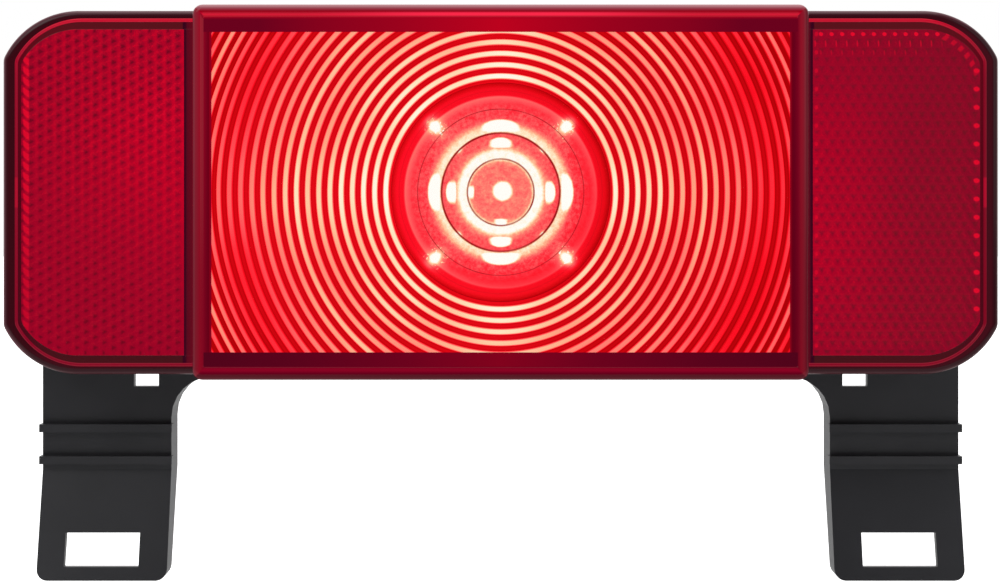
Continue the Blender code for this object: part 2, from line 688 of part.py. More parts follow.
def make_fluted_diffuser():
    """The plate of concentric rings behind the window, cut to the window's rectangle."""
    crests = []
    for i in range(FLUTE_COUNT):
        start = FLUTE_FIRST + i * FLUTE_PITCH
        crests += [(start, FLUTE_FLOOR), (start + FLUTE_PITCH / 2, FLUTE_CREST)]
    rim = FLUTE_FIRST + FLUTE_COUNT * FLUTE_PITCH
    profile = crests + [(rim, FLUTE_FLOOR), (rim, FLUTE_BACK), (FLUTE_FIRST, FLUTE_BACK)]
    rings = turned("fluted_diffuser", profile, FLUTE_STEPS, closed=True)
    outline = rectangle(FLUTED_WIDTH, FLUTED_HEIGHT, MM)
    field = plate("diffuser_outline", FLUTE_BACK - MM, FLUTE_CREST + MM, outline)
    boolean(rings, field, "INTERSECT")
    finish_part(rings, red_lens)


# ---------------------------------------------------------------- lens


def make_lens_cover():
    """A thin shell: two wings, and the raised window between them with a baffle at each side."""
    lens = plate("lens_cover", SKIRT_BACK, WING_FACE, lens_outline())
    round_front_edges(lens, LENS_EDGE)
    window_outline = rectangle(WINDOW_WIDTH, WINDOW_HEIGHT, WINDOW_CORNER)
    window = plate("lens_window", SKIRT_BACK + MM, WINDOW_FACE, window_outline)
    round_front_edges(window, LENS_EDGE)
    wing_hollow = plate("lens_wing_hollow", BELOW, WING_FACE - LENS_WALL, lens_outline(LENS_WALL))
    hollow_outline = rectangle(WINDOW_WIDTH - 2 * LENS_WALL, WINDOW_HEIGHT - 2 * LENS_WALL, 0.5 * MM)
    window_hollow = plate("lens_window_hollow", BELOW, WINDOW_FACE - LENS_WALL, hollow_outline)
    join(lens, window)
    cut(lens, wing_hollow, window_hollow)
    for side, label in SIDES:
        baffle_y = (-BAFFLE_HALF_HEIGHT, BAFFLE_HALF_HEIGHT)
        baffle_depth = (UPSTAND_TOP + GAP, BAFFLE_FRONT)
        baffle = block(f"lens_baffle_{label}", both_ways(side, *BAFFLE_X), baffle_y, baffle_depth)
        latch_x = both_ways(side, LENS_WIDTH / 2 - LATCH_ROOT, LENS_WIDTH / 2 + LATCH_REACH)
        latch_y = (-LATCH_HALF_HEIGHT, LATCH_HALF_HEIGHT)
        latch = block(f"lens_latch_{label}", latch_x, latch_y, (BASE_BACK + GAP, LATCH_FRONT))
        join(lens, baffle, latch)
    half = LICENCE_WINDOW_WIDTH / 2
    opening_y = (-LENS_HEIGHT, -WINDOW_HEIGHT / 2 + 2 * LENS_WALL)
    cut(lens, block("lens_licence_opening", (-half, half), opening_y, LICENCE_WINDOW_DEPTH))
    finish_part(lens, red_lens)


def make_licence_window():
    """The clear strip in the lens's bottom wall that lights the plate below."""
    half = LICENCE_WINDOW_WIDTH / 2 - GAP
    back, front = LICENCE_WINDOW_DEPTH
    low = -WINDOW_HEIGHT / 2
    window = block("licence_window", (-half, half), (low, low + LENS_WALL), (back + GAP, front - GAP))
    finish_part(window, clear_lens)


def make_reflex_panels():
    for side, label in SIDES:
        outline = wing_panel_outline(side, REFLEX_INSET)
        back = REFLEX_FRONT - REFLEX_THICKNESS
        finish_part(plate(f"reflex_panel_{label}", back, REFLEX_FRONT, outline), red_lens)
        behind = back - GAP
        backing = plate(f"reflex_backing_{label}", behind - BACKING_THICKNESS, behind, outline)
        finish_part(backing, black_plastic)


clear_scene()
parts = new_collection("tail_light")
cutters = new_collection("cutters")
stand = bpy.data.objects.new("stand_up", None)
stand.rotation_euler = (math.radians(90), 0, 0)
parts.objects.link(stand)

red_lens = plastic("red_lens", (0.50, 0.004, 0.02), 0.08, transmission=0.6)
clear_lens = plastic("clear_lens", (0.95, 0.95, 0.95), 0.05, transmission=0.9)
black_plastic = plastic("black_plastic", (0.022, 0.022, 0.025), 0.45)
rubber = plastic("rubber", (0.015, 0.015, 0.015), 0.8)
foam = plastic("foam", (0.05, 0.05, 0.05), 0.95)
steel = plastic("steel", (0.6, 0.6, 0.62), 0.3, metallic=1.0)
aluminium = plastic("aluminium", (0.75, 0.75, 0.77), 0.35, metallic=1.0)
board_white = plastic("board_white", (0.85, 0.87, 0.85), 0.4)
ceramic_white = plastic("ceramic_white", (0.9, 0.9, 0.85), 0.4)
chip_black = plastic("chip_black", (0.03, 0.03, 0.03), 0.5)
connector_white = plastic("connector_white", (0.8, 0.8, 0.76), 0.5)
reflector_white = plastic("reflector_white", (0.9, 0.88, 0.86), 0.3)
red_wire = plastic("red_wire", (0.6, 0.02, 0.02), 0.4)
brown_wire = plastic("brown_wire", (0.18, 0.07, 0.02), 0.4)
white_wire = plastic("white_wire", (0.85, 0.85, 0.82), 0.4)

make_mounting_gasket()
make_licence_bracket()
make_base_housing()
make_lens_seal()
make_wire_grommet()
make_screws()
make_circuit_board()
make_leds()
make_components()
make_wires()
make_collimator_lens()
make_optic_holder()
make_reflector_tray()
make_fluted_diffuser()
make_lens_cover()
make_licence_window()
make_reflex_panels()
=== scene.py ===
import math

import bmesh
import bpy
from mathutils import Matrix, Vector


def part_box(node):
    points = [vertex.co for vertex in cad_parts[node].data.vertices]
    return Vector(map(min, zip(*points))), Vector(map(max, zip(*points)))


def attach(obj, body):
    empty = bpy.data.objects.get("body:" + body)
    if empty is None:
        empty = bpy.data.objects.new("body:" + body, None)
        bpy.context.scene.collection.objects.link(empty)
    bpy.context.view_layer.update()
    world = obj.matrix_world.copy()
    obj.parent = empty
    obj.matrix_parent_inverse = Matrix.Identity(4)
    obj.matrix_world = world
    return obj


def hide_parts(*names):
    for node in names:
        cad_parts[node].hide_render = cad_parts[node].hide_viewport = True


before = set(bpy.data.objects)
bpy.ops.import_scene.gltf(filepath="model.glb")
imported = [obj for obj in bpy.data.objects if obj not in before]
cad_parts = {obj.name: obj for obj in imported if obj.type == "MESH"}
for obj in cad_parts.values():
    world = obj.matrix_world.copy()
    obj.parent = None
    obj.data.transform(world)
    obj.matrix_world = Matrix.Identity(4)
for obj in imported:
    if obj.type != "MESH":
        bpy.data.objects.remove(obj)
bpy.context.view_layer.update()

# Sizes are in millimetres, turned into metres when a mesh is made. Pieces are drawn lying on their backs,
# as (x, y, depth), where depth is measured out of the wall, and are stood up to face -Y.
MM = 0.001
STAND_UP = Matrix.Rotation(math.radians(90), 4, "X")
SIDES = ((-1, "left"), (1, "right"))


def extent(node):
    """The node's (x, y, depth) extents in millimetres, each as (low, high)."""
    low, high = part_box(node)
    return (low.x / MM, high.x / MM), (low.z / MM, high.z / MM), (-high.y / MM, -low.y / MM)


# The lens's outline. Its width in the CAD takes in the latch at each end.
(_, LENS_X), (_, WINDOW_Y), (_, WINDOW_FACE) = extent("lens_cover")
LATCH_REACH = 0.25
LATCH_Y = 3.6
LATCH_FRONT = 21.9
LENS_X -= LATCH_REACH
(PANEL_INNER_X, PANEL_OUTER_X), (_, PANEL_Y), (PANEL_BACK, PANEL_FRONT) = extent("reflex_panel_right")
LENS_Y = PANEL_Y + LENS_X - PANEL_OUTER_X
CORNER_RADIUS = 18.4
CORNER_TO_SIDE = 16.7  # from a corner arc's centre to the short side, which cuts the arc
CORNER_STEPS = 28
KINK_REACH = 0.7  # how far the soft kink runs each way where a corner's arc meets the short side
(_, _), (_, _), (_, SEAL_FRONT) = extent("lens_seal")
SKIRT_BACK = SEAL_FRONT + 0.3
WALL = 2.2
EDGE = 1.3  # rounding of the lens's front edges
EDGE_STEPS = 5

# The wings: from their edge inwards, a rim, a raised line, a flat valley and a clear pane
WING_FACE = PANEL_FRONT + WALL + 0.3
BEAD_MIDDLE = (2.18, 3.08)  # how far inside the long edges, and inside the short side
BEAD_HALF = (0.38, 0.32)  # half its width, there
BEAD_HEIGHT = 0.33
BEAD_STEPS = 6
VALLEY_DROP = 0.2
STRIP_X = {-1: 69.9, 1: 68.9}  # where each wing's pane starts, past a strip beside the window

# The window
WINDOW_X = 66.3
WINDOW_CORNER = 2.2
WINDOW_SIDE_BACK = 18.8  # depth where its side walls end, inside the wings
SIDE_STOP_Y = 37.9  # past this height they reach back to the skirt
BOX_CORNER_STEPS = 6
BORDER_X = WINDOW_X - 62.1  # width of the window's border at its sides
BORDER_Y = WINDOW_Y - 34.4  # and above and below

# The rings behind the window. They stand closer together from the one numbered OUTER_FROM on.
(_, RINGS_X), (_, RINGS_Y), (RINGS_BACK, RINGS_FRONT) = extent("fluted_diffuser")
RING_START = 24.22
RING_PITCH = 2.416
OUTER_FROM = 15
OUTER_START = RING_START + OUTER_FROM * RING_PITCH
OUTER_PITCH = 2.05
RING_INNER = 23.8
RING_HEIGHT = 0.75
RING_STEPS = 240
RING_TALL = 1.015  # the rings are this much taller than wide
RING_DROP = 0.08  # and their centre lies this much below the optic's
CREST = ((-0.02, 0.0), (0.07, 0.75), (0.25, 1.0), (0.43, 0.75), (0.52, 0.0))  # shares of pitch and height

# The reflex cells behind the wings
PANEL_INNER_X += 0.4  # their honeycomb is laid out from here
FIELD_INNER_X = {-1: PANEL_INNER_X, 1: PANEL_INNER_X - 1.1}  # and each wing's is cut off here
FIELD_INSET = (3.6, 3.1)  # and this far inside the long edges, and inside the short side
CELL_WIDTH = 2.35
CELL_STEP = 0.42  # depth between the three levels of a cell's corners
CELL_FRONT = PANEL_FRONT - 0.1

# The optic
_, _, (OPTIC_BACK, OPTIC_FRONT) = extent("collimator_lens")
OPTIC_RADIUS = 23.75
OPTIC_ZONES = (0.0, 7.2, 12.85, 18.0, 20.9)  # radii of the steps in its front
OPTIC_ZONE_DROP = 0.25
OPTIC_ZONE_BOW = 0.55
OPTIC_ZONE_STEPS = 6
OPTIC_STEPS = 128

CUT_TOLERANCE = 1e-4
WELD_DISTANCE = 0.02
GRAIN_HEIGHT = 0.02
CURVE_TOP = 1.25  # the highest number that a curve can hold


# ---------------------------------------------------------------- shader graphs


def linear(colour):
    """An sRGB colour, 0 to 255, as linear values."""
    return tuple(c / 255 / 12.92 if c <= 10 else ((c / 255 + 0.055) / 1.055) ** 2.4 for c in colour)


class Field:
    """A number or colour that varies over a surface: a socket of a material's node tree, with arithmetic."""

    def __init__(self, socket):
        self.socket = socket

    def __add__(self, other):
        return math_node("ADD", self, other)

    def __radd__(self, other):
        return math_node("ADD", other, self)

    def __sub__(self, other):
        return math_node("SUBTRACT", self, other)

    def __rsub__(self, other):
        return math_node("SUBTRACT", other, self)

    def __mul__(self, other):
        return math_node("MULTIPLY", self, other)

    def __rmul__(self, other):
        return math_node("MULTIPLY", other, self)

    def __truediv__(self, other):
        return math_node("DIVIDE", self, other)

    def __abs__(self):
        return math_node("ABSOLUTE", self)


def feed(tree, socket, value):
    """Links a field to a socket, or sets the socket to a plain number or colour."""
    if isinstance(value, Field):
        tree.links.new(value.socket, socket)
    elif hasattr(value, "__len__") and len(value) == 3 and socket.type == "RGBA":
        socket.default_value = (*value, 1.0)
    else:
        socket.default_value = value


def tree_of(*values):
    """The node tree of the first field among values."""
    return next(v.socket.id_data for v in values if isinstance(v, Field))


def math_node(operation, *values):
    """A field worked out from fields and numbers."""
    tree = tree_of(*values)
    node = tree.nodes.new("ShaderNodeMath")
    node.operation = operation
    for socket, value in zip(node.inputs, values):
        feed(tree, socket, value)
    return Field(node.outputs[0])


def least(a, b):
    return math_node("MINIMUM", a, b)


def most(a, b):
    return math_node("MAXIMUM", a, b)


def power(a, b):
    return math_node("POWER", a, b)


def fraction(a):
    return math_node("FRACT", a)


def rise(value, start, end):
    """0 below start and 1 above end, with a smooth step between. It falls where end is the lower."""
    tree = tree_of(value)
    node = tree.nodes.new("ShaderNodeMapRange")
    node.interpolation_type = "SMOOTHSTEP"
    low, high = sorted((start, end))
    feed(tree, node.inputs["Value"], value)
    node.inputs["From Min"].default_value = low
    node.inputs["From Max"].default_value = high
    node.inputs["To Min"].default_value = 0.0 if start < end else 1.0
    node.inputs["To Max"].default_value = 1.0 if start < end else 0.0
    return Field(node.outputs[0])


def band(value, start, end, soft=0.1):
    """1 between start and end, and 0 outside them."""
    return rise(value, start - soft, start + soft) * rise(value, end + soft, end - soft)


def shades(value, stops):
    """Colours along value, from (value, linear colour) stops."""
    tree = tree_of(value)
    low, high = stops[0][0], stops[-1][0]
    node = tree.nodes.new("ShaderNodeValToRGB")
    elements = node.color_ramp.elements
    while len(elements) < len(stops):
        elements.new(1.0)
    for element, (at, colour) in zip(elements, stops):
        element.position = (at - low) / (high - low)
        element.color = (*colour, 1.0)
    feed(tree, node.inputs["Fac"], (value - low) / (high - low))
    return Field(node.outputs["Color"])


def ramp(value, stops):
    """Colours along value, from (value, sRGB colour) stops."""
    return shades(value, [(at, linear(colour)) for at, colour in stops])


def curve(value, stops):
    """A number along value, from (value, number) stops with numbers from 0 to CURVE_TOP."""
    return shades(value, [(at, [number / CURVE_TOP] * 3) for at, number in stops]) * CURVE_TOP


def blend(share, a, b):
    """Colour a where share is 0 and b where it is 1."""
    tree = tree_of(share)
    node = tree.nodes.new("ShaderNodeMix")
    node.data_type = "RGBA"
    feed(tree, node.inputs["Factor"], share)
    feed(tree, node.inputs[6], a)
    feed(tree, node.inputs[7], b)
    return Field(node.outputs[2])


def times_colour(field, colour):
    """A colour field with each channel multiplied by colour's."""
    tree = tree_of(field)
    node = tree.nodes.new("ShaderNodeVectorMath")
    node.operation = "MULTIPLY"
    feed(tree, node.inputs[0], field)
    node.inputs[1].default_value = colour
    return Field(node.outputs[0])


def outwards(tree, kind):
    """The x, y and outward parts of a texture coordinate."""
    coordinates = tree.nodes.new("ShaderNodeTexCoord")
    split = tree.nodes.new("ShaderNodeSeparateXYZ")
    tree.links.new(coordinates.outputs[kind], split.inputs[0])
    x, inwards, y = (Field(s) for s in split.outputs)
    return x, y, 0.0 - inwards


def place(tree):
    """The surface point's x, y and depth on the light, in millimetres."""
    return [part * (1 / MM) for part in outwards(tree, "Object")]


def facing(tree):
    """The surface normal's x, y and outward parts."""
    return outwards(tree, "Normal")


def on_right(x):
    """0 on the light's left half and 1 on its right."""
    return rise(x, -1.0, 1.0)


def noise(tree, per_mm, detail=2.0, roughness=0.5):
    """Noise from 0 to 1, with per_mm features to a millimetre."""
    coordinates = tree.nodes.new("ShaderNodeTexCoord")
    mapping = tree.nodes.new("ShaderNodeMapping")
    mapping.inputs["Scale"].default_value = [per_mm / MM] * 3
    tree.links.new(coordinates.outputs["Object"], mapping.inputs[0])
    node = tree.nodes.new("ShaderNodeTexNoise")
    node.inputs["Scale"].default_value = 1.0
    node.inputs["Detail"].default_value = detail
    node.inputs["Roughness"].default_value = roughness
    tree.links.new(mapping.outputs[0], node.inputs["Vector"])
    return Field(node.outputs[0])


def bump(height, strength):
    """A normal from a height field."""
    tree = tree_of(height)
    node = tree.nodes.new("ShaderNodeBump")
    node.inputs["Strength"].default_value = strength
    node.inputs["Distance"].default_value = GRAIN_HEIGHT * MM
    feed(tree, node.inputs["Height"], height)
    return Field(node.outputs[0])


def new_material(name):
    """A new material, its node tree and its Principled shader."""
    made = bpy.data.materials.new(name)
    made.use_nodes = True
    return made, made.node_tree, made.node_tree.nodes["Principled BSDF"]


def solid(name, colour, roughness=0.4, mottle=0.15, grain=0.5, grain_size=2.0, metallic=0.0, specular=0.5):
    """A moulded or machined surface: its colour drifts a little, and a fine grain breaks up its gloss."""
    made, tree, shader = new_material(name)
    drift = noise(tree, 0.06, detail=4.0)
    base = linear(colour)
    darker = tuple(c * (1 - mottle) for c in base)
    lighter = tuple(min(1.0, c * (1 + mottle)) for c in base)
    feed(tree, shader.inputs["Base Color"], blend(drift, darker, lighter))
    fine = noise(tree, grain_size, detail=3.0)
    feed(tree, shader.inputs["Roughness"], roughness * 0.85 + fine * (roughness * 0.3))
    feed(tree, shader.inputs["Normal"], bump(fine, grain))
    shader.inputs["Metallic"].default_value = metallic
    shader.inputs["Specular IOR Level"].default_value = specular
    return made


LENS_TINT = (0.96, 0.42, 0.40)  # what one face of the clear red lens lets through
MIRRORED = 0.04  # and the share of light that one face mirrors

# What the lit parts look like through the red lens, from deep red where little light comes through, to white
HEAT = [
    (0.0, (170, 1, 6)), (0.12, (204, 4, 14)), (0.22, (228, 8, 22)), (0.32, (250, 13, 34)),
    (0.42, (252, 46, 60)), (0.50, (253, 80, 86)), (0.58, (253, 108, 102)), (0.66, (253, 134, 116)),
    (0.75, (254, 166, 132)), (0.84, (254, 198, 158)), (0.92, (254, 225, 186)), (1.0, (255, 242, 216)),
    (1.1, (255, 253, 246)),
]


def glowing(name, colour_of, base=(20, 0, 2), roughness=0.15, unfiltered=False, specular=0.5):
    """A surface whose look is painted as emitted light: lit from behind, or painted highlights, reflections
    and shade. colour_of(tree) is how it looks, through the lens unless unfiltered.
    """
    made, tree, shader = new_material(name)
    seen = colour_of(tree)
    if not unfiltered:
        seen = times_colour(seen, [1 / (t * (1 - MIRRORED)) ** 2 for t in LENS_TINT])
    shader.inputs["Base Color"].default_value = (*linear(base), 1.0)
    shader.inputs["Roughness"].default_value = roughness
    shader.inputs["Specular IOR Level"].default_value = specular
    feed(tree, shader.inputs["Emission Color"], seen)
    shader.inputs["Emission Strength"].default_value = 1.0
    made.cycles.emission_sampling = "NONE"
    return made


def pane_material(name, tint):
    """A clear wall. It tints what is behind it, and mirrors more at a slant, the same from both its sides."""
    made, tree, shader = new_material(name)
    tree.nodes.remove(shader)
    clear = tree.nodes.new("ShaderNodeBsdfTransparent")
    clear.inputs["Color"].default_value = (*tint, 1.0)
    gloss = tree.nodes.new("ShaderNodeBsdfGlossy")
    waver = noise(tree, 0.15, detail=2.0)
    feed(tree, gloss.inputs["Roughness"], 0.04 + waver * 0.03)
    slant = tree.nodes.new("ShaderNodeLayerWeight")
    slant.inputs["Blend"].default_value = 0.5
    share = power(Field(slant.outputs["Facing"]), 5.0) * (1.0 - MIRRORED) + MIRRORED
    mix = tree.nodes.new("ShaderNodeMixShader")
    feed(tree, mix.inputs[0], share)
    tree.links.new(clear.outputs[0], mix.inputs[1])
    tree.links.new(gloss.outputs[0], mix.inputs[2])
    tree.links.new(mix.outputs[0], tree.nodes["Material Output"].inputs["Surface"])
    return made


# ---------------------------------------------------------------- outlines


def lens_corner(inset, end_inset):
    """The top right corner, from the top edge to where the short side cuts the arc, with a softened kink."""
    radius = CORNER_RADIUS - inset
    centre = Vector((LENS_X - CORNER_TO_SIDE - (end_inset - inset), LENS_Y - CORNER_RADIUS))
    last = math.acos((CORNER_TO_SIDE - inset) / radius)
    soft = KINK_REACH / radius
    start = math.pi / 2
    end = last + soft
    angles = [start + (end - start) * k / CORNER_STEPS for k in range(CORNER_STEPS + 1)]
    points = [centre + radius * Vector((math.cos(a), math.sin(a))) for a in angles]
    kink = centre + radius * Vector((math.cos(last), math.sin(last)))
    after = kink - Vector((0, KINK_REACH))
    before = points[-1]
    for t in (0.33, 0.67, 1.0):
        points.append(before * (1 - t) ** 2 + kink * 2 * t * (1 - t) + after * t * t)
    return points


def mirrored(points, x, y):
    """Points mirrored where x or y is -1, still in the same turning order."""
    flipped = [Vector((p.x * x, p.y * y)) for p in points]
    return flipped if x * y > 0 else flipped[::-1]


def wing_outline(inset, end_inset, inner_x):
    """An open line round the right wing, from inner_x on the top edge to inner_x on the bottom edge.

    It runs inset inside the long edges, and end_inset inside the short side."""
    corner = lens_corner(inset, end_inset)
    edge = LENS_Y - inset
    return [Vector((inner_x, edge)), *corner, *mirrored(corner, 1, -1), Vector((inner_x, -edge))]


def box_outline(half_x, half_y, radius):
    """A rectangle with rounded corners, and an extra point near each end of its short sides."""
    points = []
    for sx, sy in ((1, 1), (1, -1), (-1, -1), (-1, 1)):
        centre = Vector((sx * (half_x - radius), sy * (half_y - radius)))
        arc = []
        for k in range(BOX_CORNER_STEPS + 1):
            a = math.pi / 2 * k / BOX_CORNER_STEPS
            arc.append(centre + radius * Vector((sx * math.sin(a), sy * math.cos(a))))
        arc.append(Vector((sx * half_x, sy * min(SIDE_STOP_Y, half_y - radius - 0.1))))
        points += arc if sx == sy else arc[::-1]
    return points


# ---------------------------------------------------------------- meshes


def piece(name, bm, materials, body, replaces, smooth):
    """Turns a bmesh drawn in millimetres, lying on its back, into a piece that stands in for a CAD node.

    Edges sharper than smooth degrees stay sharp."""
    bmesh.ops.recalc_face_normals(bm, faces=bm.faces)
    bmesh.ops.scale(bm, verts=bm.verts, vec=(MM, MM, MM))
    bmesh.ops.transform(bm, verts=bm.verts, matrix=STAND_UP)
    mesh = bpy.data.meshes.new(name)
    bm.to_mesh(mesh)
    bm.free()
    for material in materials:
        mesh.materials.append(material)
    mesh.shade_smooth()
    mesh.set_sharp_from_angle(angle=math.radians(smooth))
    obj = bpy.data.objects.new(name, mesh)
    bpy.context.scene.collection.objects.link(obj)
    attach(obj, body)
    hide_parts(replaces)


def add_loop(bm, points, depth):
    """Vertices along 2D points at a depth, or at a depth for each."""
    depths = depth if hasattr(depth, "__len__") else [depth] * len(points)
    return [bm.verts.new((p.x, p.y, d)) for p, d in zip(points, depths)]


def bridge(bm, first, second, closed, material):
    """A strip of faces between two rows of vertices, closed into a ring or left open."""
    count = len(first)
    for i in range(count if closed else count - 1):
        j = (i + 1) % count
        face = bm.faces.new((first[i], first[j], second[j], second[i]))
        face.material_index = material


def fill(bm, loop, material):
    """One face across a loop of vertices."""
    face = bm.faces.new(loop)
    face.material_index = material
    return face


def close_holes(bm):
    """Closes every opening, and gives the faces that close them."""
    open_edges = [e for e in bm.edges if e.is_boundary]
    return bmesh.ops.holes_fill(bm, edges=open_edges, sides=0)["faces"]


def cut_off(bm, point, normal):
    """Cuts away all that lies on the side of a plane that its normal points to."""
    geometry = bm.verts[:] + bm.edges[:] + bm.faces[:]
    bmesh.ops.bisect_plane(
        bm, geom=geometry, plane_co=point, plane_no=normal, clear_outer=True, dist=CUT_TOLERANCE
    )


def turn(bm, profile, steps, closed=False):
    """Turns (radius, depth) points about the depth axis. A radius of 0 makes a pole."""
    columns = []
    poles = {}
    for k in range(steps):
        a = 2 * math.pi * k / steps
        column = []
        for i, (radius, depth) in enumerate(profile):
            if radius == 0:
                if i not in poles:
                    poles[i] = bm.verts.new((0, 0, depth))
                column.append(poles[i])
            else:
                column.append(bm.verts.new((radius * math.cos(a), radius * math.sin(a), depth)))
        columns.append(column)
    last = len(profile) if closed else len(profile) - 1
    for here, there in zip(columns, columns[1:] + columns[:1]):
        for i in range(last):
            j = (i + 1) % len(profile)
            unique = list(dict.fromkeys((here[i], there[i], there[j], here[j])))
            if len(unique) > 2:
                bm.faces.new(unique)


def quarter(inset, depth, radius):
    """(inset, depth) points of a rounded edge, from the side wall to the front face."""
    angles = [math.pi / 2 * k / EDGE_STEPS for k in range(EDGE_STEPS + 1)]
    return [(inset + radius * (1 - math.cos(a)), depth - radius + radius * math.sin(a)) for a in angles]


# Material slots of the lens
WALL_SLOT, RIM_SLOT, BEAD_SLOT, VALLEY_SLOT, PANE_SLOT, BORDER_SLOT = range(6)


def wing_profile():
    """From the skirt to the clear pane: (inset, end inset, depth, slot of the strip that leads there)."""
    face = WING_FACE - 0.1
    profile = [(0.0, 0.0, SKIRT_BACK, WALL_SLOT)]
    profile += [(inset, inset, depth, RIM_SLOT) for inset, depth in quarter(0.0, face, EDGE)]
    for k in range(BEAD_STEPS):
        a = math.pi * k / BEAD_STEPS
        inset, end_inset = (middle - half * math.cos(a) for middle, half in zip(BEAD_MIDDLE, BEAD_HALF))
        profile.append((inset, end_inset, face + BEAD_HEIGHT * math.sin(a), BEAD_SLOT if k else RIM_SLOT))
    profile.append((2.56, 3.4, face - VALLEY_DROP, BEAD_SLOT))
    profile.append((4.1, 4.05, face - VALLEY_DROP, VALLEY_SLOT))
    profile.append((4.22, 4.2, face, VALLEY_SLOT))
    return profile


def add_wing(bm, side):
    """A wing of the lens: a hollow cap, open towards the window, with a latch at its end."""
    inner_x = WINDOW_X - 1.2

    def rows(profile):
        for inset, end_inset, depth, slot in profile:
            outline = mirrored(wing_outline(inset, end_inset, inner_x), side, 1)
            yield add_loop(bm, outline, depth), slot

    outer = list(rows(wing_profile()))
    back = WING_FACE - WALL
    inner = [(WALL, SKIRT_BACK), (WALL, back - 0.5), (WALL + 0.3, back)]
    inner = list(rows([(inset, inset, depth, WALL_SLOT) for inset, depth in inner]))
    for strips in (outer, inner):
        for (first, _), (second, slot) in zip(strips, strips[1:]):
            bridge(bm, first, second, False, slot)
    bridge(bm, outer[0][0], inner[0][0], False, WALL_SLOT)
    panes = [fill(bm, outer[-1][0], PANE_SLOT), fill(bm, inner[-1][0], PANE_SLOT)]
    for face in close_holes(bm):
        face.material_index = WALL_SLOT
    mark_strip(bm, panes, side)
    ends = sorted((side * (LENS_X - 0.6), side * (LENS_X + LATCH_REACH)))
    latch = add_block(bm, ends, (-LATCH_Y, LATCH_Y), (SKIRT_BACK + 1.2, LATCH_FRONT))
    bevel_block(bm, latch, 0.2)


def mark_strip(bm, panes, side):
    """Parts the strip beside the window from a wing's panes, and gives it the valley's material."""
    geometry = panes + [e for f in panes for e in f.edges] + [v for f in panes for v in f.verts]
    point = (side * STRIP_X[side], 0, 0)
    bmesh.ops.bisect_plane(bm, geom=geometry, plane_co=point, plane_no=(1, 0, 0), dist=CUT_TOLERANCE)
    for face in bm.faces:
        if face.material_index == PANE_SLOT and abs(face.calc_center_median().x) < STRIP_X[side]:
            face.material_index = VALLEY_SLOT


def add_window_box(bm):
    """The raised window: its walls, a rounded edge, a border with a step in it, and a clear pane."""

    def loop(inset_x, inset_y, depth, radius):
        return add_loop(bm, box_outline(WINDOW_X - inset_x, WINDOW_Y - inset_y, radius), depth)

    def back(inset, radius):
        """The walls' back edge. Past the straight of a side wall it lies as far back as the skirt."""
        points = box_outline(WINDOW_X - inset, WINDOW_Y - inset, radius)
        straight = WINDOW_Y - inset - radius - 0.05
        return add_loop(bm, points, [WINDOW_SIDE_BACK if abs(p.y) < straight else SKIRT_BACK for p in points])

    outer = [(back(0.0, WINDOW_CORNER), WALL_SLOT)]
    for inset, depth in quarter(0.0, WINDOW_FACE, EDGE):
        outer.append((loop(inset, inset, depth, max(WINDOW_CORNER - inset, 0.8)), BORDER_SLOT))
    # The border's steps: inset at the sides, inset above and below, how far below the face, and corner radius
    steps = (
        (1.8, 1.65, 0.0, 0.7),
        (2.0, 2.0, 0.15, 0.6),
        (2.3, 2.6, 0.2, 0.5),
        (2.5, 2.8, 0.35, 0.4),
        (BORDER_X, BORDER_Y, 0.35, 0.3),
    )
    for inset_x, inset_y, drop, radius in steps:
        outer.append((loop(inset_x, inset_y, WINDOW_FACE - drop, radius), BORDER_SLOT))
    inner = [(back(WALL, 0.4), WALL_SLOT), (loop(WALL, WALL, WINDOW_FACE - WALL, 0.4), WALL_SLOT)]
    inner.append((loop(BORDER_X - 0.6, BORDER_Y - 0.6, WINDOW_FACE - WALL, 0.3), WALL_SLOT))
    for strips in (outer, inner):
        for (first, _), (second, slot) in zip(strips, strips[1:]):
            bridge(bm, first, second, True, slot)
    bridge(bm, outer[0][0], inner[0][0], True, WALL_SLOT)
    fill(bm, outer[-1][0], PANE_SLOT)
    fill(bm, inner[-1][0], PANE_SLOT)


def add_block(bm, x, y, depth):
    """A block between (low, high) pairs. It has the first material slot."""
    made = bmesh.ops.create_cube(bm, size=1)
    low, high = Vector((x[0], y[0], depth[0])), Vector((x[1], y[1], depth[1]))
    bmesh.ops.scale(bm, verts=made["verts"], vec=high - low)
    bmesh.ops.translate(bm, verts=made["verts"], vec=(low + high) / 2)
    return made["verts"]


def bevel_block(bm, verts, width):
    """Rounds all edges of a block."""
    edges = list({e for v in verts for e in v.link_edges})
    bmesh.ops.bevel(bm, geom=edges, offset=width, segments=2, profile=0.5, affect="EDGES")


# ---------------------------------------------------------------- the lens and its rings


def bead_colour(tree):
    """The raised line round each wing, its light painted: a painted highlight where it looks up, and painted
    shade down the sides and below.
    """
    x, y, _ = place(tree)
    lowest, highest = (-41, (134, 5, 34)), (39, (204, 10, 44))
    left = ramp(y, [lowest, (-30, (128, 8, 35)), (25, (146, 9, 38)), (35, (176, 8, 42)), highest])
    right = ramp(y, [lowest, (-30, (122, 10, 32)), (25, (126, 12, 34)), (35, (160, 10, 38)), highest])
    by_latch = rise(abs(y), LATCH_Y, LATCH_Y - 0.6) * rise(abs(x), 100.0, 104.0)
    return blend(by_latch, blend(on_right(x), left, right), linear((168, 12, 42)))


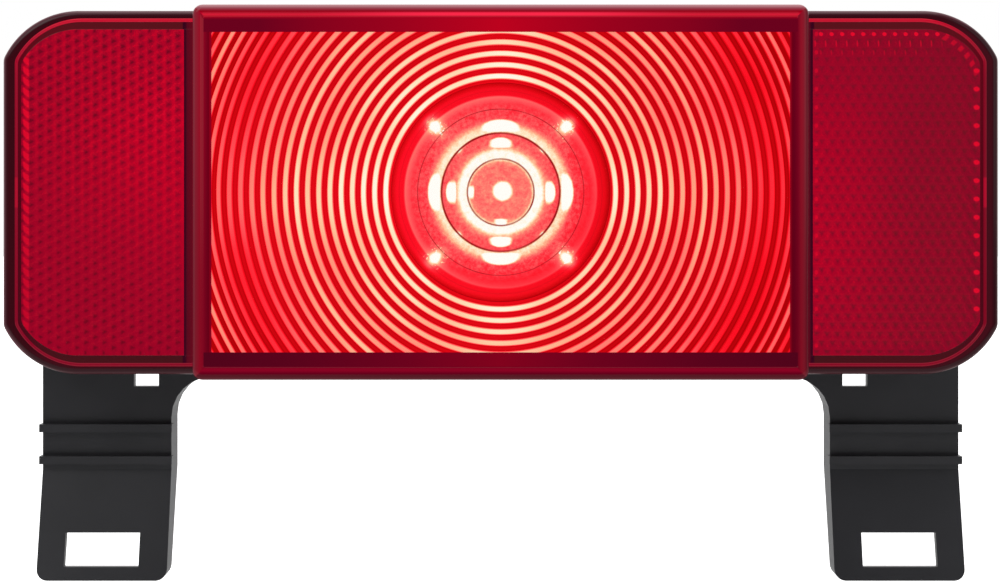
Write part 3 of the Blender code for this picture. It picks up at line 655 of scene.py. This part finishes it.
def border_top_colour(wide, end):
    """Above the window: a pale painted reflection on the rounded edge and a painted highlight where a step
    catches the light, most of all in the middle, with painted shade towards the ends.
    """
    across = ramp(end, [
        (0.0, (188, 134, 138)), (0.45, (172, 112, 120)), (0.87, (150, 70, 82)), (1.3, (144, 26, 44)),
        (1.6, (146, 0, 20)), (1.85, (170, 3, 32)), (2.2, (212, 12, 47)), (2.6, (186, 2, 34)),
        (3.2, (150, 1, 27)),
    ])
    across = blend(band(end, 1.8, 2.5, 0.25) * rise(wide, 45.0, 10.0), across, linear((250, 32, 69)))
    along = ramp(wide, [(0, (187, 2, 29)), (21.5, (154, 2, 28)), (39, (132, 2, 28)), (52, (104, 2, 28))])
    return blend(rise(end, 2.4, 3.5), across, along)


def border_bottom_colour(wide, end):
    """Below the window: painted shade, away from the light, with a dull painted reflection on the rounded
    edge.
    """
    across = ramp(end, [
        (0.0, (88, 30, 38)), (0.5, (82, 16, 28)), (1.0, (78, 2, 20)), (1.5, (98, 1, 26)),
        (2.1, (134, 4, 34)), (2.5, (132, 4, 33)), (3.0, (104, 2, 27)),
    ])
    along = ramp(wide, [(0, (128, 2, 28)), (20, (106, 2, 28)), (45, (86, 3, 26)), (66, (76, 4, 25))])
    return blend(rise(end, 2.6, 3.2), across, along)


def border_side_colour(x, y, side):
    """Beside the window: the rings' light painted on the border's inner edge, a pale painted reflection on
    its rounded edge, and painted shade that darkens it downwards.
    """
    left = ramp(side, [
        (0.1, (98, 20, 34)), (0.5, (130, 38, 52)), (1.0, (138, 30, 46)), (1.8, (149, 12, 36)),
        (2.5, (138, 6, 33)), (3.1, (118, 3, 28)), (3.6, (106, 0, 22)), (3.9, (146, 0, 26)),
    ])
    right = ramp(side, [
        (0.1, (82, 11, 26)), (0.6, (98, 14, 30)), (1.2, (132, 27, 42)), (1.8, (140, 19, 37)),
        (2.5, (116, 4, 29)), (3.3, (98, 1, 25)), (3.7, (104, 0, 20)), (4.1, (150, 4, 28)),
    ])
    return blend(rise(y, 30.0, -30.0) * 0.3, blend(on_right(x), left, right), linear((70, 2, 18)))


def border_colour(tree):
    """The window's border, mitred at its corners."""
    x, y, _ = place(tree)
    wide, side, end = abs(x), WINDOW_X - abs(x), WINDOW_Y - abs(y)
    ends = blend(rise(y, -1.0, 1.0), border_bottom_colour(wide, end), border_top_colour(wide, end))
    at_end = rise(side - least(end, 2.5), -0.15, 0.15) * rise(end, BORDER_Y + 0.1, BORDER_Y - 0.1)
    return blend(at_end, border_side_colour(x, y, side), ends)


def valley_colour(tree):
    """The lens's flat strips between its raised line and its panes, and beside the window. Their colour is
    painted light and shade: darker low down, lighter towards the top, greyer near the top and bottom edges,
    and lighter beside the window, next to its light.
    """
    x, y, _ = place(tree)
    along = ramp(y, [
        (-39, (64, 20, 24)), (-30, (70, 8, 22)), (0, (78, 4, 19)), (30, (92, 6, 22)), (37, (86, 18, 26)),
    ])
    wide = abs(x) + on_right(x)  # the strip beside the window is 1 mm nearer to it on the right
    beside = ramp(wide, [(68.3, (96, 8, 27)), (69.2, (84, 8, 27)), (69.6, (54, 4, 26)), (70.2, (48, 2, 24))])
    return blend(rise(wide, 70.4, 70.0), along, beside)


def edge_distance(x, y):
    """How far inside the lens's outline a point of a wing lies."""
    corner_x = most(abs(x) - (LENS_X - CORNER_TO_SIDE), 0.0)
    corner_y = most(abs(y) - (LENS_Y - CORNER_RADIUS), 0.0)
    arc = CORNER_RADIUS - power(corner_x * corner_x + corner_y * corner_y, 0.5)
    return least(LENS_X - abs(x), arc)


def rim_colour(tree):
    """The wings' outer edge: almost black, with a pale painted reflection along it at the top and left, where
    it meets the light, and a dull one elsewhere.
    """
    x, y, _ = place(tree)
    inset = edge_distance(x, y)
    pale = ramp(inset, [
        (0.0, (116, 80, 86)), (0.35, (92, 54, 62)), (0.75, (66, 31, 38)), (1.15, (48, 14, 20)),
        (1.6, (52, 9, 17)),
    ])
    dull = ramp(inset, [
        (0.0, (64, 34, 38)), (0.45, (58, 29, 33)), (0.8, (40, 11, 17)), (1.2, (44, 10, 17)),
        (1.7, (62, 14, 23)),
    ])
    return blend(rise(y, 38.0, 35.0) * most(on_right(x), rise(y, -34.0, -37.0)), pale, dull)


def make_lens():
    """The lens's shell. Its materials stand in the order of their slots."""
    # The rim, bead, valley and border glow: their highlights, reflections and shade are painted into their
    # colour.
    materials = [
        solid("red_lens_wall", (112, 5, 22), roughness=0.14, mottle=0.2, grain=0.05, specular=0.22),
        glowing("red_lens_rim", rim_colour, base=(16, 2, 5), unfiltered=True, specular=0.15),
        glowing("red_lens_bead", bead_colour, unfiltered=True, specular=0.12),
        glowing("red_lens_valley", valley_colour, unfiltered=True),
        pane_material("red_lens_pane", LENS_TINT),
        glowing("red_lens_border", border_colour, unfiltered=True, specular=0.12),
    ]
    bm = bmesh.new()
    for side, _ in SIDES:
        add_wing(bm, side)
    add_window_box(bm)
    piece("lens_shell", bm, materials, "lens", "lens_cover", smooth=32)


def ring_colour(tree):
    """The lit rings: hot crests that cool from cream to red as they leave the middle, over red grooves."""
    x, y, _ = place(tree)
    y = (y + RING_DROP) / RING_TALL
    square = x * x + y * y
    radius = power(square, 0.5)
    number = most((radius - RING_START) / RING_PITCH, (radius - OUTER_START) / OUTER_PITCH + OUTER_FROM)
    off_crest = abs(fraction(number + 0.25) - 0.5)  # 0 on a crest's line
    diagonal = power(x * y * 2.0 / square, 2.0)
    between = diagonal * (1.0 - diagonal) * 4.0  # 1 halfway between the axes and the diagonals
    to_left, to_top = x / radius * -1.0, y / radius
    crest = curve(radius, [
        (24, 1.03), (27.3, 0.98), (29.7, 0.97), (32.1, 0.89), (34.6, 0.93), (36.9, 0.83), (39.3, 0.79),
        (41.9, 0.77), (44.3, 0.87), (46.5, 0.78), (48.9, 0.71), (51.4, 0.68), (53.8, 0.59), (56.2, 0.50),
        (58.5, 0.47), (61.0, 0.50), (63.1, 0.56), (65.0, 0.66), (67.1, 0.76), (69.1, 0.57), (72.0, 0.50),
    ])
    crest = crest + to_left * 0.045 + to_top * 0.03 - diagonal * 0.06 - between * 0.09
    crest = crest + (noise(tree, 0.07, detail=1.0) - 0.5) * 0.14
    groove = curve(radius, [(24, 0.22), (40, 0.18), (56, 0.16), (66, 0.05), (72, 0.02)])
    groove = groove + to_left * 0.03 - diagonal * 0.06
    groove = groove - rise(abs(off_crest - 0.34), 0.08, 0.0) * 0.08
    on_crest = rise(off_crest, 0.33, 0.13)
    return ramp(groove + (crest - groove) * on_crest, HEAT)


def ring_radius(number):
    """Where the ring of this number starts. Half a number is half a ring on."""
    return RING_START + min(number, OUTER_FROM) * RING_PITCH + max(number - OUTER_FROM, 0) * OUTER_PITCH


def make_rings():
    """The plate of rings: a turned profile of rounded crests, cut to the window's rectangle."""
    floor = RINGS_FRONT - RING_HEIGHT
    count = OUTER_FROM + math.ceil((math.hypot(RINGS_X, RINGS_Y) - OUTER_START) / OUTER_PITCH)
    profile = [(RING_INNER, RINGS_BACK)]
    for i in range(count):
        for share, height in CREST:
            profile.append((max(ring_radius(i + share), RING_INNER), floor + height * RING_HEIGHT))
    profile += [(ring_radius(count), floor), (ring_radius(count), RINGS_BACK)]
    bm = bmesh.new()
    turn(bm, profile, RING_STEPS, closed=True)
    for v in bm.verts:
        if math.hypot(v.co.x, v.co.y) > RING_INNER + 0.01:
            v.co.y = v.co.y * RING_TALL - RING_DROP
    for x, y in ((1, 0), (-1, 0), (0, 1), (0, -1)):
        cut_off(bm, (x * RINGS_X, y * RINGS_Y, 0), (x, y, 0))
        close_holes(bm)
    made = glowing("lit_rings", ring_colour)
    piece("ring_lens", bm, [made], "lens", "fluted_diffuser", smooth=20)


# ---------------------------------------------------------------- reflex wings


def left_cells(x, y):
    """(level, bright) for the left wing, both painted light: brighter upwards and towards the window, with a
    rope of bright painted glints like teeth at its end.
    """
    across = rise(x, -108.0, -72.0)
    level = 0.16 + rise(y, -34.0, 20.0) * 0.2 + across * rise(abs(y - 8.0), 42.0, 6.0) * 0.4
    tooth = fraction((y + (x + 105.4) * 0.7) / CELL_WIDTH)
    rope = rise(abs(x + 105.45), 0.8, 0.45) * rise(abs(tooth - 0.45), 0.42, 0.22) * rise(abs(y), 33.0, 29.0)
    return level, rope * (0.35 + rise(y, -40.0, 20.0) * 0.4)


def dots(along, start, gap, off, reach):
    """A row of dots, gap apart. off is the distance from the row's line, and reach is half a dot's size."""
    u, v = (fraction((along - start) / gap) - 0.5) * (gap / reach[0]), off / reach[1]
    return rise(u * u + v * v, 1.5, 0.5)


def right_cells(x, y):
    """(level, bright) for the right wing, both painted light: painted shade away from the window, and bright
    painted glints in dots at its edges.
    """
    level = rise(x, 96.0, 66.0) * rise(abs(y + 4.0), 50.0, 5.0) * 0.6 - 0.06 + rise(x, 96.0, 80.0) * 0.1
    pitch = CELL_WIDTH * math.sqrt(3)
    first_row = dots(x, PANEL_INNER_X - 0.2, CELL_WIDTH, y - 35.2, (0.5, 0.45)) * rise(x, 102.0, 97.0) * 0.9
    second_row = dots(x, PANEL_INNER_X + 0.85, CELL_WIDTH, y - 33.1, (0.2, 0.75)) * rise(x, 100.0, 95.0) * 0.5
    third_row = dots(x, PANEL_INNER_X - 0.2, CELL_WIDTH, y - 31.1, (0.2, 0.6)) * rise(x, 98.0, 92.0) * 0.3
    end = dots(y, 0.6, pitch, x - 105.7, (0.55, 0.68)) * rise(abs(y), 29.0, 27.0) * 0.8
    inner = dots(y, 0.6, pitch, x - 70.1, (0.5, 0.4)) * 0.4
    off_arc = abs(power(power(x - 92.8, 2.0) + power(y - 22.2, 2.0), 0.5) - 13.6)
    corner = rise(off_arc, 0.8, 0.4) * rise(x, 97.0, 98.0) * rise(y, 25.0, 27.0)
    corner = corner * rise(fraction((x - y) / 2.9), 0.55, 0.4) * 0.45
    rows = most(most(first_row, second_row), third_row)
    return level, most(rows, most(most(end, inner), corner))


def cell_colour(side):
    """Cube corners with painted light: painted shade in their deepest points, a painted highlight on their
    front corners, and facets painted lighter or darker by the way they face.
    """

    def colour(tree):
        x, y, depth = place(tree)
        across, up, _ = facing(tree)
        drift = noise(tree, 0.05, detail=2.0)
        sparkle = noise(tree, 0.9, detail=1.0)
        level, bright = left_cells(x, y) if side < 0 else right_cells(x, y)
        contrast = 1.3 + rise(y, -10.0, 30.0) * (0.9 if side < 0 else -0.4)
        # Painted light: facets lighter or darker by the way they face, a highlight on the front corners and
        # shade in the deepest points.
        facets = (sparkle - 0.5) * 0.35 + up * -0.07 + across * (-0.07 * side) + 0.03
        facets = facets + rise(depth, CELL_FRONT - 0.22, CELL_FRONT) * 0.22
        facets = facets - rise(depth, CELL_FRONT - 0.45, CELL_FRONT - 0.78) * 0.45
        if side < 0:
            column = fraction((PANEL_INNER_X - x) / (CELL_WIDTH * math.sqrt(0.75)) + CELL_WIDTH)
            facets = facets + (rise(abs(column - 0.5), 0.4, 0.1) - 0.5) * 0.16
        level = level + facets * contrast + (drift - 0.5) * 0.22
        far = (112, 6, 30) if side < 0 else (112, 16, 34)
        near = (142, 4, 36) if side < 0 else (132, 9, 37)
        stops = [(-0.4, far), (0.0, near), (0.45, (158, 4, 37)), (0.9, (186, 2, 37)), (1.3, (216, 4, 44))]
        return blend(bright, ramp(level, stops), linear((232, 10, 44)))

    return colour


def add_cube_corners(bm, side):
    """A honeycomb of cube corners over a wing, in columns on the left and in rows on the right."""
    along, between = CELL_WIDTH, CELL_WIDTH * math.sqrt(3) / 2
    radius = CELL_WIDTH / math.sqrt(3)
    levels = (CELL_FRONT, CELL_FRONT - CELL_STEP, CELL_FRONT - 2 * CELL_STEP)
    first_turn = 0 if side < 0 else 30
    reach_x, reach_y = PANEL_OUTER_X - PANEL_INNER_X + 2 * along, PANEL_Y + 2 * along
    for i in range(-2, math.ceil(2 * reach_y / between)):
        for j in range(-2, math.ceil(2 * reach_y / along)):
            off_x, off_y = i * between, (j + 0.5 * (i % 2)) * along
            if side > 0:
                off_x, off_y = off_y, off_x
            if off_x > reach_x or off_y > 2 * reach_y:
                continue
            x, y = side * (PANEL_INNER_X - along + off_x), reach_y - off_y
            middle = bm.verts.new((x, y, levels[2]))
            rim = []
            for k in range(6):
                a = math.radians(first_turn + 60 * k)
                corner_x, corner_y = x + radius * math.cos(a), y + radius * math.sin(a)
                rim.append(bm.verts.new((corner_x, corner_y, levels[1 - k % 2])))
            for k in (1, 3, 5):
                bm.faces.new((middle, rim[k], rim[(k + 1) % 6], rim[(k + 2) % 6]))
    bmesh.ops.remove_doubles(bm, verts=bm.verts, dist=WELD_DISTANCE)


def make_reflex_panel(side, label):
    """A plate whose front is cube corners, cut to the wing's outline."""
    bm = bmesh.new()
    add_cube_corners(bm, side)
    outline = mirrored(wing_outline(*FIELD_INSET, FIELD_INNER_X[side]), side, 1)
    centre = Vector((side * (PANEL_INNER_X + PANEL_OUTER_X) / 2, 0))
    for a, b in zip(outline, outline[1:] + outline[:1]):
        normal = Vector((b.y - a.y, a.x - b.x))
        if normal.length < 1e-6:
            continue
        if normal.dot(centre - a) > 0:
            normal = -normal
        cut_off(bm, (*a, 0), (*normal, 0))
    extruded = bmesh.ops.extrude_edge_only(bm, edges=[e for e in bm.edges if e.is_boundary])
    for v in extruded["geom"]:
        if isinstance(v, bmesh.types.BMVert):
            v.co.z = PANEL_BACK
    close_holes(bm)
    name = f"reflex_cells_{label}"
    made = glowing(name, cell_colour(side), base=(60, 0, 10), roughness=0.2)
    piece(name, bm, [made], "lens", f"reflex_panel_{label}", smooth=5)


# ---------------------------------------------------------------- optic


def optic_colour(tree):
    """The lit optic: a hot spot, hot rings at its steps, and images of the LED on its axes and diagonals."""
    x, y, _ = place(tree)
    wide, high = abs(x), abs(y)
    radius = power(x * x + y * y, 0.5)
    across = least(wide, high)
    to_left, to_top = x / (radius + 0.1) * -1.0, y / (radius + 0.1)
    spot_x, spot_y = x - 0.4, y - 0.25
    spot = power(spot_x * spot_x + spot_y * spot_y, 0.5)
    heat = curve(radius, [
        (0, 0.66), (5.6, 0.60), (6.5, 0.66), (6.9, 0.86), (7.1, 0.90), (7.5, 1.08), (8.75, 1.10), (9.3, 0.89),
        (9.7, 0.73), (10.2, 0.62), (10.9, 0.53), (12.7, 0.50), (12.95, 0.80), (13.2, 0.95), (13.8, 0.93),
        (14.2, 0.88), (14.9, 0.71), (15.4, 0.57), (16.0, 0.47), (18.5, 0.43), (19.3, 0.41), (20.1, 0.47),
        (20.7, 0.51), (21.1, 0.30), (22.6, 0.27), (23.2, 0.15), (23.75, 0.02),
    ])
    lean = curve(radius, [(9, 0.0), (14, 0.3), (16, 0.25), (18.5, 0.4), (20.6, 0.9), (21, 0.0), (24, 0.0)])
    heat = heat + to_left * lean * 0.05 + to_top * lean * 0.06 + to_left * rise(radius, 20.0, 23.0) * 0.05
    fine = noise(tree, 1.1, detail=4.0, roughness=0.75)
    heat = heat + (fine - 0.5) * rise(radius, 21.0, 17.0) * 0.5
    # The LED's images: radius, half their depth and width, strength. The last axis image shows at lower left.
    axis_images = (
        (10.75, 1.1, 2.4, 0.8),
        (14.5, 1.25, 3.8, 0.75),
        (6.4, 0.7, 1.4, rise(x + y, 3.0, -3.0) * 0.5),
    )
    for middle, thick, half_width, strength in axis_images:
        u, v = (radius - middle) / thick, across / half_width
        heat = heat + rise(power(abs(u), 3.0) + v * v, 1.5, 0.2) * strength
    diagonal, aside = (wide + high) * math.sqrt(0.5), abs(wide - high) * math.sqrt(0.5)
    diagonal_images = ((20.15, 1.9, 1.35, 1.3), (12.6, 0.35, 0.9, 0.6))
    for middle, thick, half_width, strength in diagonal_images:
        u, v = (diagonal - middle) / thick, aside / half_width
        heat = heat + power(u * u + v * v + 1.0, -2.0) * strength
    near_glint = band(diagonal, 17.6, 22.0, 0.6) * rise(aside, 3.0, 1.2)
    heat = heat + rise(noise(tree, 1.6), 0.56, 0.68) * near_glint * 0.35
    heat = heat + rise(spot, 2.5, 1.6) * 0.55
    colour = ramp(heat, HEAT)
    drift = noise(tree, 0.12)
    # The dark lines at the optic's steps, painted shade in its glow: radius, half width, strength
    for middle, half, strength in ((7.2, 0.17, 0.9), (12.8, 0.2, 1.1), (18.0, 0.1, 0.8), (22.0, 0.08, 0.3)):
        line = rise(abs(radius - middle), half * 1.5, half * 0.5) * strength * (drift + 0.4)
        colour = blend(line, colour, linear((150, 16, 22)))
    return colour


def make_optic():
    """The stepped optic: a turned solid with bowed zones in front, and a hollow behind for the LED's dome."""
    profile = [(0.0, OPTIC_FRONT)]
    for i, (start, end) in enumerate(zip(OPTIC_ZONES, OPTIC_ZONES[1:])):
        top = OPTIC_FRONT - OPTIC_ZONE_DROP * i
        for k in range(0 if i else 1, OPTIC_ZONE_STEPS + 1):
            t = k / OPTIC_ZONE_STEPS
            radius = start + (end - start) * t + (0.0 if k else 0.12)
            profile.append((radius, top - OPTIC_ZONE_BOW * t * t))
    profile += [(OPTIC_RADIUS - 0.3, OPTIC_FRONT - 1.7), (OPTIC_RADIUS, OPTIC_FRONT - 2.0)]
    profile += [(OPTIC_RADIUS, OPTIC_BACK + 7.2), (11.0, OPTIC_BACK + 7.0), (5.5, OPTIC_BACK)]
    profile += [(3.2, OPTIC_BACK), (2.7, OPTIC_BACK + 3.2), (1.5, OPTIC_BACK + 4.0), (0.0, OPTIC_BACK + 4.2)]
    bm = bmesh.new()
    turn(bm, profile, OPTIC_STEPS)
    made = glowing("lit_optic", optic_colour, base=(60, 20, 22), roughness=0.06)
    piece("stepped_optic", bm, [made], "base", "collimator_lens", smooth=25)


# ---------------------------------------------------------------- carried-over parts


def dress(material, rounding, *nodes):
    """Gives CAD nodes a material, and rounds their edges by so many millimetres."""
    for node in nodes:
        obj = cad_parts[node]
        obj.data.materials.clear()
        obj.data.materials.append(material)
        if rounding:
            bevel = obj.modifiers.new("rounding", "BEVEL")
            bevel.width = rounding * MM
            bevel.segments = 2
            bevel.limit_method = "ANGLE"
            bevel.angle_limit = math.radians(40)
            bevel.harden_normals = False


def numbered(name, count):
    """name_1, name_2 and so on."""
    return [f"{name}_{i + 1}" for i in range(count)]


def dress_housings():
    """The black mouldings, the seals, the clear strip, and the screws that hold the bracket."""
    black = solid("moulded_black", (50, 50, 53), roughness=0.32, mottle=0.25, grain=0.25, grain_size=3.0)
    dress(black, 0.25, "licence_bracket")
    dress(solid("base_black", (30, 30, 32), roughness=0.4, mottle=0.2, grain=0.25), 0.2, "base_housing")
    dress(solid("holder_black", (30, 30, 32), roughness=0.35), 0.15, "optic_holder")
    backing_black = solid("backing_black", (26, 24, 25), roughness=0.5)
    dress(backing_black, 0.15, "reflex_backing_left", "reflex_backing_right")
    zinc = solid("zinc", (190, 188, 180), roughness=0.3, metallic=1.0)
    dress(zinc, 0.15, "bracket_screw_left", "bracket_screw_right")
    dress(solid("seal_rubber", (22, 22, 22), roughness=0.8, grain=0.6), 0.0, "lens_seal")
    dress(solid("grommet_rubber", (24, 24, 24), roughness=0.75, grain=0.6), 0.3, "wire_grommet")
    foam = solid("closed_cell_foam", (46, 46, 48), roughness=0.95, mottle=0.3, grain=1.0, grain_size=1.5)
    dress(foam, 0.0, "mounting_gasket")
    dress(pane_material("clear_strip", (0.96, 0.96, 0.96)), 0.15, "licence_window")


def dome_colour(tree):
    """The lit dome of the LED, a little warmer on the left."""
    x, _, _ = place(tree)
    return ramp(x, [(-3, (255, 250, 225)), (3, (255, 252, 235))])


def dress_board():
    """The circuit board and what stands on it, and the reflector tray."""
    dress(solid("white_board", (226, 230, 224), roughness=0.35, mottle=0.03), 0.0, "circuit_board")
    dress(solid("spreader_metal", (190, 192, 196), roughness=0.35, metallic=1.0), 0.15, "heat_spreader")
    tray_white = solid("tray_white", (232, 228, 224), roughness=0.25, mottle=0.04, grain=0.1)
    dress(tray_white, 0.2, "reflector_tray")
    board_zinc = solid("board_zinc", (196, 194, 188), roughness=0.3, metallic=1.0)
    dress(board_zinc, 0.12, *numbered("board_screw", 4))
    dress(solid("tail_led_case", (238, 234, 214), roughness=0.35), 0.1, *numbered("tail_led", 4))
    led_case = solid("led_case", (235, 232, 220), roughness=0.35)
    dress(led_case, 0.1, "licence_led_left", "licence_led_right")
    dress(solid("resistor_black", (28, 28, 30), roughness=0.5), 0.08, *numbered("resistor", 4))
    dress(solid("diode_black", (30, 30, 32), roughness=0.5), 0.1, *numbered("rectifier_diode", 2))
    dress(solid("chip_epoxy", (32, 32, 34), roughness=0.55), 0.1, "driver_chip")
    dress(solid("can_aluminium", (200, 202, 206), roughness=0.25, metallic=1.0), 0.15, "capacitor")
    dress(solid("nylon", (228, 226, 214), roughness=0.5), 0.2, "wire_connector")
    dress(solid("led_ceramic", (240, 236, 214)), 0.1, "main_led_package")
    dress(glowing("led_dome_lit", dome_colour), 0.0, "main_led_dome")


def dress_wires():
    """The leads, each in its own colour."""
    dress(solid("red_insulation", (170, 24, 24)), 0.0, "stop_turn_wire")
    dress(solid("brown_insulation", (104, 62, 34)), 0.0, "tail_wire")
    dress(solid("white_insulation", (226, 224, 216)), 0.0, "ground_wire")


# ---------------------------------------------------------------- studio


def make_floor():
    """A pale floor well below the light, reaching far behind it. The camera sees it as plain white."""
    bm = bmesh.new()
    bmesh.ops.create_grid(bm, x_segments=1, y_segments=1, size=6.0)
    mesh = bpy.data.meshes.new("floor")
    bm.to_mesh(mesh)
    bm.free()
    floor = bpy.data.objects.new("floor", mesh)
    floor.location = (0, 4.8, -0.32)
    bpy.context.scene.collection.objects.link(floor)
    white, tree, shader = new_material("pale_floor")
    ray = tree.nodes.new("ShaderNodeLightPath")
    shader.inputs["Base Color"].default_value = (0.9, 0.9, 0.9, 1.0)
    shader.inputs["Roughness"].default_value = 0.9
    shader.inputs["Emission Color"].default_value = (1.0, 1.0, 1.0, 1.0)
    feed(tree, shader.inputs["Emission Strength"], Field(ray.outputs["Is Camera Ray"]))
    mesh.materials.append(white)


def make_surroundings():
    """White behind the light and dark on the viewer's side, so that the lens mirrors little but the lamps."""
    world = bpy.data.worlds.new("studio")
    world.use_nodes = True
    bpy.context.scene.world = world
    tree = world.node_tree
    coordinates = tree.nodes.new("ShaderNodeTexCoord")
    split = tree.nodes.new("ShaderNodeSeparateXYZ")
    tree.links.new(coordinates.outputs["Generated"], split.inputs[0])
    behind = rise(Field(split.outputs["Y"]), -0.45, 0.15)
    ray = tree.nodes.new("ShaderNodeLightPath")
    strength = most(0.012 + behind * 0.988, Field(ray.outputs["Is Camera Ray"]))
    background = tree.nodes["Background"]
    background.inputs["Color"].default_value = (1.0, 1.0, 1.0, 1.0)
    feed(tree, background.inputs["Strength"], strength)


def make_lamps():
    """Soft boxes above and to each side of the viewer. Places and sizes are in metres, powers in watts."""
    for name, where, size, watts in (
        ("key_light", (-0.75, -0.9, 0.75), 0.7, 5.0),
        ("fill_light", (0.9, -0.8, 0.35), 0.8, 2.5),
        ("top_light", (0.0, -0.15, 0.8), 0.8, 4.0),
    ):
        data = bpy.data.lights.new(name, "AREA")
        data.size = size
        data.energy = watts
        lamp = bpy.data.objects.new(name, data)
        lamp.location = where
        lamp.rotation_euler = (Vector((0, 0, -0.02)) - lamp.location).to_track_quat("-Z", "Y").to_euler()
        bpy.context.scene.collection.objects.link(lamp)


def make_camera():
    """Square on, level with the middle of the lens. The shift takes in the bracket below."""
    data = bpy.data.cameras.new("camera")
    data.sensor_width = 36.0
    data.lens = 70.16
    data.shift_y = -0.09
    data.clip_start = 0.01
    camera = bpy.data.objects.new("camera", data)
    camera.location = (-0.15 * MM, -456 * MM, -2 * MM)
    camera.rotation_euler = (math.radians(90), 0, 0)
    bpy.context.scene.collection.objects.link(camera)
    bpy.context.scene.camera = camera


make_lens()
make_rings()
for side, label in SIDES:
    make_reflex_panel(side, label)
make_optic()
dress_housings()
dress_board()
dress_wires()
make_floor()
make_surroundings()
make_lamps()
make_camera()
bpy.context.scene.view_settings.view_transform = "Standard"
bpy.context.scene.view_settings.look = "None"
